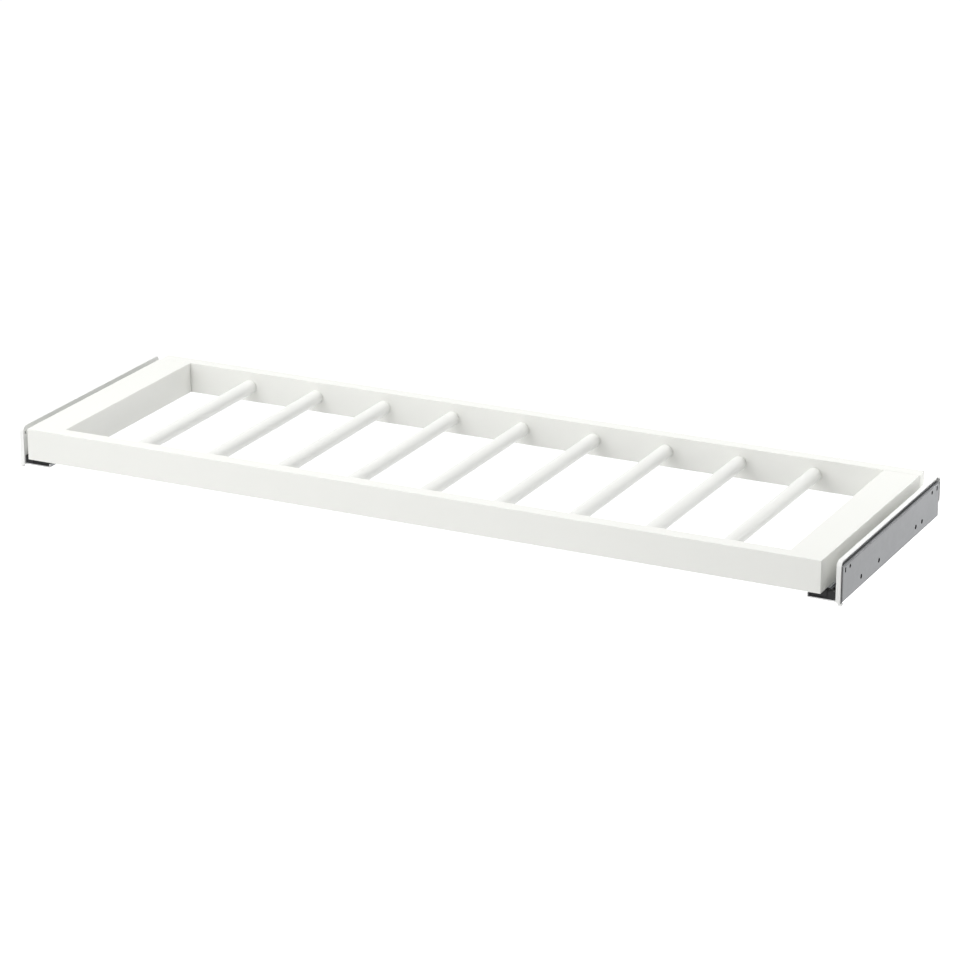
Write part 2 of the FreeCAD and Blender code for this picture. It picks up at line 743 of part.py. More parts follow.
def add_fixed_track(hand, side):
    """Outer channel of the ball runner, riveted to the flange."""
    body = new_body(f"{hand}_fixed_track")
    outline = new_sketch(body, "XZ_Plane")
    polygon(
        outline,
        [
            ("-track_outer", "0"),
            ("track_outer", "0"),
            ("track_outer", "track_height"),
            ("track_inner", "track_height"),
            ("track_inner", "track_web"),
            ("-track_inner", "track_web"),
            ("-track_inner", "track_height"),
            ("-track_outer", "track_height"),
        ],
    )
    pad(body, outline, "track_rear - track_front", reverse=True)
    add_grooves(body, ["outer_ball_x"])
    tab = new_sketch(body, "XY_Plane", "track_web")
    rectangle(tab, "-tab_half_width", "tab_half_width", "0", "tab_length")
    pad(body, tab, "layer - layer_gap")
    rivets = new_sketch(body, "XY_Plane")
    for station in fastener_stations():
        circle(rivets, "0", f"{station} - track_front", "rivet_diameter / 2 + seat_fit")
    cut(body, rivets)
    return place(body, f"{side} * slide_x", "rail_front + track_front", "leg_top")


def add_middle_member(hand, side):
    """Middle channel: balls outside towards the track and inside towards the rack."""
    body = new_body(f"{hand}_middle_member")
    floor, web_top = "middle_floor", "middle_floor + middle_web"
    outline = new_sketch(body, "XZ_Plane")
    polygon(
        outline,
        [
            ("-middle_outer", floor),
            ("middle_outer", floor),
            ("middle_outer", "middle_top"),
            ("middle_inner", "middle_top"),
            ("middle_inner", web_top),
            ("-middle_inner", web_top),
            ("-middle_inner", "middle_top"),
            ("-middle_outer", "middle_top"),
        ],
    )
    length = "member_rear - middle_front"
    pad(body, outline, length, reverse=True)
    add_grooves(body, ["outer_ball_x", "inner_ball_x"])
    front_tab = new_sketch(body, "XY_Plane", web_top)
    rectangle(front_tab, "-tab_half_width", "tab_half_width", "0", "tab_length")
    pad(body, front_tab, "layer - layer_gap")
    rear_tab = new_sketch(body, "XY_Plane", floor)
    rectangle(rear_tab, "-tab_half_width", "tab_half_width", f"{length} - tab_length", length)
    pad(body, rear_tab, "layer - layer_gap", reverse=True)
    return place(body, f"{side} * slide_x", "rail_front + middle_front", "leg_top")


def add_rack_member(hand, side):
    """Inner member of the runner, screwed up under the side board."""
    body = new_body(f"{hand}_rack_member")
    web = "headroom - member_web"
    outline = new_sketch(body, "XZ_Plane")
    polygon(
        outline,
        [
            ("-member_half_width", "headroom"),
            ("-member_half_width", web),
            ("-rack_outer", web),
            ("-rack_outer", "rack_floor"),
            ("-member_core", "rack_floor"),
            ("-member_core", web),
            ("member_core", web),
            ("member_core", "rack_floor"),
            ("rack_outer", "rack_floor"),
            ("rack_outer", web),
            ("member_half_width", web),
            ("member_half_width", "headroom"),
        ],
    )
    length = "member_rear - track_front"
    pad(body, outline, length, reverse=True)
    add_grooves(body, ["inner_ball_x"])
    tab = new_sketch(body, "XY_Plane", "rack_floor")
    rectangle(tab, "-rack_outer", "rack_outer", f"{length} - tab_length", length)
    pad(body, tab, "layer - layer_gap", reverse=True)
    screws = new_sketch(body, "XY_Plane", web)
    for station in fastener_stations():
        circle(screws, "0", f"{station} - track_front", "screw_diameter / 2 + seat_fit")
    cut(body, screws, "member_web", reverse=True)
    return place(body, f"{side} * slide_x", "rail_front + track_front", "leg_top")


# Ball rows: which cage, its half width to the ball centres, floor level, front and length.
CAGES = {
    "outer": ("outer_ball_x", "track_web + layer_gap", "outer_cage_front", "outer_cage_length"),
    "inner": (
        "inner_ball_x",
        "middle_floor + middle_web + layer_gap",
        "inner_cage_front",
        "inner_cage_length",
    ),
}


def ball_stations(length):
    """Ball centres along a cage, evenly spaced between its two margins."""
    spaces = "(balls_per_row - 1)"
    return [
        f"cage_margin + {number} * ({length} - 2 * cage_margin) / {spaces}"
        for number in range(int(value("balls_per_row")))
    ]


def add_ball_cage(hand, side, ring):
    """U-shaped plastic strip whose walls hold two rows of balls."""
    centre, floor, front, length = CAGES[ring]
    body = new_body(f"{hand}_{ring}_cage")
    outer, inner = f"{centre} + cage_wall / 2", f"{centre} - cage_wall / 2"
    top = "middle_top - layer_gap"
    outline = new_sketch(body, "XZ_Plane")
    polygon(
        outline,
        [
            (f"-({outer})", floor),
            (outer, floor),
            (outer, top),
            (inner, top),
            (inner, f"{floor} + cage_strip"),
            (f"-({inner})", f"{floor} + cage_strip"),
            (f"-({inner})", top),
            (f"-({outer})", top),
        ],
    )
    pad(body, outline, length, reverse=True)
    pockets = new_sketch(body, "YZ_Plane")
    for station in ball_stations(length):
        circle(pockets, station, "ball_height", "groove_radius")
    cut(body, pockets)
    return place(body, f"{side} * slide_x", f"rail_front + {front}", "leg_top")


def add_balls(hand, side, ring):
    centre, _, front, length = CAGES[ring]
    balls = []
    for row in SIDES.values():
        for station in ball_stations(length):
            ball = DOCUMENT.addObject("Part::Sphere", f"{hand}_{ring}_ball")
            bind(ball, "Radius", "ball_diameter / 2")
            x = f"{side} * slide_x + {row} * ({centre})"
            y = f"rail_front + {front} + {station}"
            balls.append(place(ball, x, y, "leg_top + ball_height"))
    return group(f"{hand}_{ring}_balls", balls)


def add_guide_block(hand, side):
    """Black front block: a window for the moving member and a cheek beside the track."""
    body = new_body(f"{hand}_guide_block")
    out_x = f"{side} * (side_gap + slide_inset - block_fit)"
    in_x = f"-{side} * (flange_reach - steel_thickness - slide_inset - block_fit)"
    cheek_x = f"{side} * (track_outer + block_fit)"
    top = "headroom - block_headroom"
    base = new_sketch(body, "XY_Plane")
    polygon(
        base,
        [
            (in_x, "0"),
            (out_x, "0"),
            (out_x, "block_length"),
            (cheek_x, "block_length"),
            (cheek_x, "block_wall"),
            (in_x, "block_wall"),
        ],
    )
    block = pad(body, base, top)
    corners = [(value(x), value("block_length"), None) for x in (out_x, cheek_x)]
    upright = FreeCAD.Vector(0, 0, 1)
    round_edges(body, block, edges_at(block, upright, corners), "block_pocket_wall")
    window = new_sketch(body, "XZ_Plane")
    half = "(member_half_width + block_fit)"
    rectangle(window, f"-{half}", half, "block_sill", "headroom")
    cut(body, window)
    pocket = new_sketch(body, "XY_Plane", top)
    rectangle(
        pocket,
        f"{cheek_x} + {side} * block_pocket_wall",
        f"{out_x} - {side} * block_pocket_wall",
        "block_wall",
        "block_length - block_pocket_wall",
    )
    cut(body, pocket, f"{top} - block_sill")
    return place(body, f"{side} * slide_x", "rail_front", "leg_top")


def add_rear_stop(hand, side):
    """Black block behind the track that the closed members come to rest against."""
    body = new_body(f"{hand}_rear_stop")
    base = new_sketch(body, "XY_Plane")
    rectangle(base, "-track_outer", "track_outer", "0", "stop_length - end_clearance")
    block = pad(body, base, "headroom - block_headroom")
    upright = FreeCAD.Vector(0, 0, 1)
    rear = value("stop_length - end_clearance")
    corners = [(value(f"{sign} * track_outer"), rear, None) for sign in (-1, 1)]
    round_edges(body, block, edges_at(block, upright, corners), "block_pocket_wall")
    return place(body, f"{side} * slide_x", "rail_front + stop_front", "leg_top")


def add_member_cap(hand, side):
    """Black cap on the front end of the rack member, plugged into its hollow."""
    body = new_body(f"{hand}_member_cap")
    floor = "block_sill + block_fit"
    face = new_sketch(body, "XZ_Plane")
    half = "member_half_width"
    rectangle(face, f"-{half}", half, floor, "headroom - layer_gap")
    cap = pad(body, face, "block_wall - end_clearance", reverse=True)
    upright = FreeCAD.Vector(0, 0, 1)
    corners = [(value(f"{sign} * {half}"), 0.0, None) for sign in (-1, 1)]
    round_edges(body, cap, edges_at(cap, upright, corners), "edge_radius")
    plug = new_sketch(body, "XZ_Plane")
    core = "(member_core - layer_gap)"
    low, high = "rack_floor + layer_gap", "headroom - member_web - layer_gap"
    rectangle(plug, f"-{core}", core, low, high)
    pad(body, plug, "track_front - end_clearance + cap_plug_length", reverse=True)
    return place(body, f"{side} * slide_x", "rail_front + end_clearance", "leg_top")


def add_track_rivets(hand, side):
    """Rivets from the track's web, flush on top, to round heads under the flange."""
    rivets = []
    for number, station in enumerate(fastener_stations()):
        x, y = f"{side} * slide_x", f"rail_front + {station}"
        grip = "steel_thickness + track_web"
        shank = cylinder(f"{hand}_rivet_shank_{number}", "rivet_diameter / 2", grip)
        head = cylinder(
            f"{hand}_rivet_head_{number}", "rivet_head_diameter / 2", "rivet_head_height"
        )
        place(shank, x, y, "toe_drop")
        place(head, x, y, "toe_drop - rivet_head_height")
        rivets.append(fuse(f"{hand}_rivet_{number}", [shank, head]))
    return group(f"{hand}_track_rivets", rivets)


def add_member_screws(hand, side):
    """Screws up through the rack member's web into the side board."""
    web = "frame_base - member_web"
    screws = []
    for number, station in enumerate(fastener_stations()):
        x, y = f"{side} * slide_x", f"rail_front + {station}"
        head_radius = "screw_head_diameter / 2"
        shank = cylinder(f"{hand}_screw_shank_{number}", "screw_diameter / 2", "screw_length")
        head = cylinder(f"{hand}_screw_head_{number}", head_radius, "screw_head_height")
        slot = box(
            f"{hand}_screw_slot_{number}", "screw_head_diameter", "drive_slot", "drive_slot"
        )
        place(shank, x, y, web)
        place(head, x, y, f"{web} - screw_head_height")
        place(slot, f"{x} - {head_radius}", f"{y} - drive_slot / 2", f"{web} - screw_head_height")
        blank = fuse(f"{hand}_screw_blank_{number}", [shank, head])
        screws.append(subtract(f"{hand}_screw_{number}", blank, slot))
    return group(f"{hand}_member_screws", screws)


# --- assembly and export ------------------------------------------------------------


def build():
    """Every sub-part of the rack, in the order that it would be put together."""
    nodes = [add_cross_board(end) for end in ENDS]
    nodes += [add_side_board(hand, side) for hand, side in SIDES.items()]
    nodes += [add_rod(number) for number in range(int(value("rod_count")))]
    nodes += [add_corner_dowels(), add_cam_bolts(), add_cam_locks()]
    for hand, side in SIDES.items():
        for add_part in (
            add_rail_profile,
            add_rail_cover,
            add_fixed_track,
            add_track_rivets,
            add_guide_block,
            add_rear_stop,
            add_middle_member,
            add_rack_member,
            add_member_cap,
            add_member_screws,
        ):
            nodes.append(add_part(hand, side))
        for ring in CAGES:
            nodes.append(add_ball_cage(hand, side, ring))
            nodes.append(add_balls(hand, side, ring))
    DOCUMENT.recompute()
    return nodes


def check(nodes):
    """Stop before anything is written if any feature or shape has failed."""
    for item in DOCUMENT.Objects:
        if {"Invalid", "Error"} & set(item.State):
            raise RuntimeError(f"{item.Name} failed: {item.State}")
    for node in nodes:
        if node.Shape.isNull() or not node.Shape.isValid() or not node.Shape.Solids:
            raise RuntimeError(f"{node.Label} has no valid shape")


def export(nodes):
    os.makedirs("parts", exist_ok=True)
    for node in nodes:
        node.Shape.exportStep(f"parts/{node.Label}.step")


NODES = build()
check(NODES)
export(NODES)
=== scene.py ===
"""Looks of a pull out trouser rack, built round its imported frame.

Everything is in metres and in the frame's own axes: +X to the right seen from the
front, +Y to the back of the wardrobe, +Z up. The rack pulls out along -Y.
"""
import logging
import math
from contextlib import contextmanager
from dataclasses import dataclass
from enum import Enum
from typing import Callable, Iterator, Sequence

import bmesh
import bpy
from mathutils import Matrix, Vector


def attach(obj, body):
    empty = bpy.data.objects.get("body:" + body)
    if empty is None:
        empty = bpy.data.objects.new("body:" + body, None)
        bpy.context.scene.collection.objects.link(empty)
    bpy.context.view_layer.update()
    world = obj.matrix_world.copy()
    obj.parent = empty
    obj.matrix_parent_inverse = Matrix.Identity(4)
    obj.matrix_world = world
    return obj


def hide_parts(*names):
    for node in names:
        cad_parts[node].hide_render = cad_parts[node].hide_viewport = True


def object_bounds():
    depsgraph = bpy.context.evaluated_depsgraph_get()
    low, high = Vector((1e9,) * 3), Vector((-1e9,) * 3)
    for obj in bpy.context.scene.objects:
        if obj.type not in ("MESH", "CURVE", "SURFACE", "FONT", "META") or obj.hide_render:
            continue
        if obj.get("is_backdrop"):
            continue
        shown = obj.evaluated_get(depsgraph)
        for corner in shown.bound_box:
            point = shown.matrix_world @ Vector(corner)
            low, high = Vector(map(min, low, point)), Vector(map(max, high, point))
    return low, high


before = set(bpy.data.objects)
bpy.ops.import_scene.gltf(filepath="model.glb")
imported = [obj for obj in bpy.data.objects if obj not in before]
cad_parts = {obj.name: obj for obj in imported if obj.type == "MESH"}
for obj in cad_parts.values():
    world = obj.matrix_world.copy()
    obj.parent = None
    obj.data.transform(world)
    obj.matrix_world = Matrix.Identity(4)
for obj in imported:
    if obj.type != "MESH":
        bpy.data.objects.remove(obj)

LOG = logging.getLogger("trouser_rack")
MM = 0.001
# Coordinates closer than the first are taken as equal; vertices closer than the
# second are welded.
SAME_PLACE = 0.01 * MM
WELD = 0.0002 * MM
# How far a cutting tool reaches past what it cuts.
PAST = 1.0 * MM
SMOOTH_ANGLE = math.radians(32.0)
SHARP_ANGLE = math.radians(50.0)
# Most of a noise pattern lies between these two values.
PATTERN_LOW = 0.25
PATTERN_HIGH = 0.75
# Share of a face's normal along an axis, from which the face looks that way, lies
# flat across it, is a sheared end, or leans at all.
FACING = 0.9
FLAT = 0.98
SHEARED = 0.3
LEANING = 0.05

FrameBox = list[list[float]]
Point = tuple[float, float, float]
Pair = tuple[float, float]
Span = Sequence[float]
Socket = bpy.types.NodeSocket
Test = Callable[[Vector, Vector], bool]


class Side(Enum):
    """Which end of the rack a part belongs to; the value is the sign of x."""

    LEFT = -1
    RIGHT = 1

    @property
    def word(self) -> str:
        """The side's name as the frame's nodes and bodies spell it."""
        return self.name.lower()


class End(Enum):
    """Front or back along Y, and lower or upper along Z; the value is the sign."""

    LOW = -1
    HIGH = 1


class Axis(Enum):
    """Direction of a round bar, as the turn that lays a cylinder along it."""

    X = (0.0, math.pi / 2, 0.0)
    Y = (math.pi / 2, 0.0, 0.0)
    Z = (0.0, 0.0, 0.0)


class Body(Enum):
    """The frame's rigid bodies that pieces of both sides ride on."""

    RAILS = "rails"
    RACK = "rack"


class Merge(Enum):
    """How a piece takes in another, as Blender's boolean modifier spells it."""

    JOIN = "UNION"
    CUT = "DIFFERENCE"


# --- finishes --------------------------------------------------------------------


@dataclass(frozen=True)
class Relief:
    """A fine unevenness: features in a metre, depth, share that shows and octaves."""

    scale: float
    depth: float
    strength: float
    detail: float = 2.0


class NodeBench:
    """A new material and short ways to wire its nodes."""

    def __init__(self, name: str) -> None:
        """Start a material with a lone Principled shader.

        Args:
            name: Name of the material.
        """
        self.material = bpy.data.materials.new(name)
        self.material.use_nodes = True
        self.tree = self.material.node_tree
        self.shader = self.tree.nodes["Principled BSDF"]
        self.place = self.add("ShaderNodeTexCoord").outputs["Object"]

    def add(self, kind: str, **inputs: object) -> bpy.types.Node:
        """Add a node and set or link its inputs.

        Args:
            kind: Blender's name of the node type.
            **inputs: Values or sockets, by input name with _ for a space.

        Returns:
            The new node.
        """
        node = self.tree.nodes.new(kind)
        self.feed(node, **inputs)
        return node

    def feed(self, node: bpy.types.Node, **inputs: object) -> None:
        """Set or link inputs of a node.

        Args:
            node: The node.
            **inputs: Values or sockets, by input name with _ for a space.
        """
        for name, given in inputs.items():
            socket = node.inputs[name.replace("_", " ")]
            if isinstance(given, bpy.types.NodeSocket):
                self.tree.links.new(given, socket)
            else:
                socket.default_value = given

    def stretched(self, factors: Point) -> Socket:
        """Object coordinates, scaled on each axis by its factor."""
        return self.add("ShaderNodeMapping", Vector=self.place, Scale=factors).outputs[0]

    def noise(self, scale: float, detail: float, where: Socket | None = None) -> Socket:
        """Soft noise of so many features in a metre and octaves, on chosen coordinates."""
        place = where or self.place
        return self.add("ShaderNodeTexNoise", Vector=place, Scale=scale, Detail=detail).outputs[0]

    def cells(self, scale: float, output: str) -> Socket:
        """One output of a pattern of so many cells in a metre: moulded grain or crystals."""
        return self.add("ShaderNodeTexVoronoi", Vector=self.place, Scale=scale).outputs[output]

    def span(self, source: Socket, low: float, high: float) -> Socket:
        """Spread a pattern over the range from low to high."""
        ends = {"From_Min": PATTERN_LOW, "From_Max": PATTERN_HIGH, "To_Min": low, "To_Max": high}
        return self.add("ShaderNodeMapRange", Value=source, **ends).outputs[0]

    def tint(self, source: Socket, first: Point, second: Point) -> Socket:
        """Blend two colours by a pattern.

        Args:
            source: The pattern.
            first: Colour where the pattern is low.
            second: Colour where the pattern is high.

        Returns:
            The blended colour.
        """
        node = self.tree.nodes.new("ShaderNodeMix")
        node.data_type = "RGBA"
        # The node has sockets for each type of data, so a colour's go by number.
        self.tree.links.new(self.span(source, 0.0, 1.0), node.inputs[0])
        node.inputs[6].default_value = (*first, 1.0)
        node.inputs[7].default_value = (*second, 1.0)
        return node.outputs[2]

    def bump(self, height: Socket, relief: Relief, over: Socket | None = None) -> Socket:
        """Normal of a pattern in relief.

        Args:
            height: The pattern.
            relief: Its depth and strength.
            over: A coarser relief below this one.

        Returns:
            The normal.
        """
        sizes = {"Distance": relief.depth, "Strength": relief.strength}
        node = self.add("ShaderNodeBump", Height=height, **sizes)
        if over is not None:
            self.feed(node, Normal=over)
        return node.outputs[0]

    def uneven(self, relief: Relief, over: Socket | None = None) -> Socket:
        """Normal of soft noise in relief, over a coarser one if given."""
        return self.bump(self.noise(relief.scale, relief.detail), relief, over)


@dataclass(frozen=True)
class Finish:
    """A surface finish: the record's slot, its colour and how it scatters light.

    The tones are the factors of the colour where its pattern is low and high.
    """

    slot: str
    colour: Point
    roughness: float
    spread: float = 0.05
    tones: Pair = (0.985, 1.0)
    variant: str = ""

    def material(self) -> bpy.types.Material:
        """The finish's material, made once and then shared.

        Returns:
            The material.
        """
        name = f"finish_{self.slot}{self.variant}"
        ready = bpy.data.materials.get(name)
        if ready is not None:
            return ready
        bench = NodeBench(name)
        self.wire(bench)
        return bench.material

    def wire(self, bench: NodeBench) -> None:
        """Wire the nodes of this finish into a bench."""
        raise NotImplementedError

    def paint(self, bench: NodeBench, pattern: Socket) -> None:
        """Let a pattern shade the colour from one tone to the other."""
        ends = [tuple(min(share * tone, 1.0) for share in self.colour) for tone in self.tones]
        bench.feed(bench.shader, Base_Color=bench.tint(pattern, *ends))

    def gloss(self, bench: NodeBench, pattern: Socket) -> None:
        """Let a pattern vary the roughness round its middle value."""
        low, high = self.roughness - self.spread, self.roughness + self.spread
        bench.feed(bench.shader, Roughness=bench.span(pattern, low, high))


@dataclass(frozen=True)
class BoardFoil(Finish):
    """White foil on particleboard: faint pores and chips telegraphing through."""

    tone: Pair = (14.0, 3.0)
    sheen: Pair = (130.0, 3.0)
    chips: Relief = Relief(130.0, 0.03 * MM, 0.22)
    pores: Relief = Relief(1400.0, 0.012 * MM, 0.25)

    def wire(self, bench: NodeBench) -> None:
        """Wire foil tone, satin gloss and the board's slight unevenness.

        Args:
            bench: The bench of its material.
        """
        self.paint(bench, bench.noise(*self.tone))
        self.gloss(bench, bench.noise(*self.sheen))
        bench.feed(bench.shader, Normal=bench.uneven(self.pores, bench.uneven(self.chips)))


@dataclass(frozen=True)
class PowderCoat(Finish):
    """Satin powder coat with its fine orange peel."""

    tone: Pair = (30.0, 2.0)
    sheen: Pair = (80.0, 2.0)
    peel: Relief = Relief(520.0, 0.04 * MM, 0.3, 1.0)

    def wire(self, bench: NodeBench) -> None:
        """Wire the coat's tone, gloss and orange peel.

        Args:
            bench: The bench of its material.
        """
        self.paint(bench, bench.noise(*self.tone))
        self.gloss(bench, bench.noise(*self.sheen))
        bench.feed(bench.shader, Normal=bench.uneven(self.peel))


@dataclass(frozen=True)
class MouldedPlastic(Finish):
    """Moulded plastic with a spark-eroded matt grain and rubbed high spots."""

    tones: Pair = (1.0, 1.04)
    specular: float = 0.5
    flow: Pair = (22.0, 3.0)
    drawn: Point = (1.0, 0.35, 1.0)
    sheen: Pair = (70.0, 3.0)
    grain: Relief = Relief(1900.0, 0.02 * MM, 0.25)

    def wire(self, bench: NodeBench) -> None:
        """Wire the plastic's flow tone, grain and rubbed gloss.

        Args:
            bench: The bench of its material.
        """
        self.paint(bench, bench.noise(*self.flow, bench.stretched(self.drawn)))
        self.gloss(bench, bench.noise(*self.sheen))
        grain = bench.bump(bench.cells(self.grain.scale, "Distance"), self.grain)
        bench.feed(bench.shader, Normal=grain, Specular_IOR_Level=self.specular)


@dataclass(frozen=True)
class SheetMetal(Finish):
    """Zinc-coated sheet: crystals in the coat and rolling lines along Y."""

    tones: Pair = (0.9, 1.0)
    crystals: float = 120.0
    drawn: Point = (1.0, 0.012, 1.0)
    rolling: Relief = Relief(1500.0, 0.006 * MM, 0.25)
    scuffs: Relief = Relief(420.0, 0.01 * MM, 0.15, 4.0)

    def wire(self, bench: NodeBench) -> None:
        """Wire the coat's crystals, its rolling lines and small scuffs.

        Args:
            bench: The bench of its material.
        """
        self.paint(bench, bench.cells(self.crystals, "Color"))
        where = bench.stretched(self.drawn)
        lines = bench.noise(self.rolling.scale, self.rolling.detail, where)
        self.gloss(bench, lines)
        scuffs = bench.uneven(self.scuffs, bench.bump(lines, self.rolling))
        bench.feed(bench.shader, Normal=scuffs, Metallic=1.0)


@dataclass(frozen=True)
class Beech(Finish):
    """Bare beech: straight grain along Y with short dark flecks."""

    tones: Pair = (0.72, 1.0)
    drawn: Point = (1.0, 0.05, 1.0)
    fibres: Relief = Relief(900.0, 0.05 * MM, 0.4, 4.0)

    def wire(self, bench: NodeBench) -> None:
        """Wire the wood's grain and flecks.

        Args:
            bench: The bench of its material.
        """
        where = bench.stretched(self.drawn)
        grain = bench.noise(self.fibres.scale, self.fibres.detail, where)
        self.paint(bench, grain)
        self.gloss(bench, grain)
        bench.feed(bench.shader, Normal=bench.bump(grain, self.fibres))


FOIL = BoardFoil("white_board", (0.895, 0.90, 0.862), 0.42)
POWDER = PowderCoat("white_rod", (0.895, 0.90, 0.872), 0.34)
WHITE_PLASTIC = MouldedPlastic("white_plastic", (0.925, 0.93, 0.915), 0.45, tones=(1.0, 1.01))
BLACK_PLASTIC = MouldedPlastic(
    "black_plastic", (0.011, 0.011, 0.012), 0.5, tones=(1.0, 1.5), specular=0.22
)
ACETAL = MouldedPlastic("natural_plastic", (0.74, 0.72, 0.64), 0.4)
GALVANISED = SheetMetal("galvanised", (0.245, 0.25, 0.257), 0.46, 0.015, (0.96, 1.0))
# Painted shade: a darker copy of the galvanised sheet for the plate's outer bends.
SHADED_BEND_STEEL = SheetMetal("galvanised", (0.18, 0.184, 0.19), 0.62, 0.04, variant="_bend_shade")
# Painted shade: a darker copy for the top of the plate's return, under the cover's rim.
SHADED_RETURN_STEEL = SheetMetal("galvanised", (0.11, 0.113, 0.118), 0.62, 0.04, variant="_return_shade")
# Painted shade: a darker copy for the plate's sheared ends.
SHADED_CUT_STEEL = SheetMetal("galvanised", (0.2, 0.2, 0.205), 0.5, variant="_cut_shade")
# Painted highlight: a lighter copy for the flange's sheared front end.
HIGHLIT_FLANGE_STEEL = SheetMetal("galvanised", (0.42, 0.42, 0.42), 0.42, 0.04, variant="_flange_highlight")
# Painted shade: a near-black copy for the walls of the plate's holes and slots.
SHADED_HOLE_STEEL = SheetMetal("galvanised", (0.02, 0.02, 0.022), 0.6, variant="_hole_shade")
ZINC = SheetMetal("zinc_plated", (0.62, 0.63, 0.66), 0.3, 0.06, crystals=300.0)
BALL_STEEL = SheetMetal("ball_steel", (0.66, 0.66, 0.68), 0.12, 0.03, (0.98, 1.0))
BEECH = Beech("beech", (0.66, 0.47, 0.29), 0.6)


# --- modelling --------------------------------------------------------------------


def at(value: float, wanted: float) -> bool:
    """Whether a coordinate is a wanted one."""
    return abs(value - wanted) < SAME_PLACE


def edges_at(same: str = "", **levels: float) -> Test:
    """Test for edges that lie in given planes.

    Args:
        same: Axes on which both ends of an edge agree, such as "xz".
        **levels: The planes, such as y=0.1.

    Returns:
        The test of an edge's two ends.
    """

    def passes(a: Vector, b: Vector) -> bool:
        """Whether the edge from a to b lies there."""
        planes = [at(getattr(end, axis), place) for end in (a, b) for axis, place in levels.items()]
        return all(planes) and all(at(getattr(a, axis), getattr(b, axis)) for axis in same)

    return passes


def rename(item: bpy.types.Object, name: str) -> bpy.types.Object:
    """Name an object and its mesh.

    Args:
        item: The object.
        name: Its name.

    Returns:
        The object itself.
    """
    item.name = name
    item.data.name = name
    return item


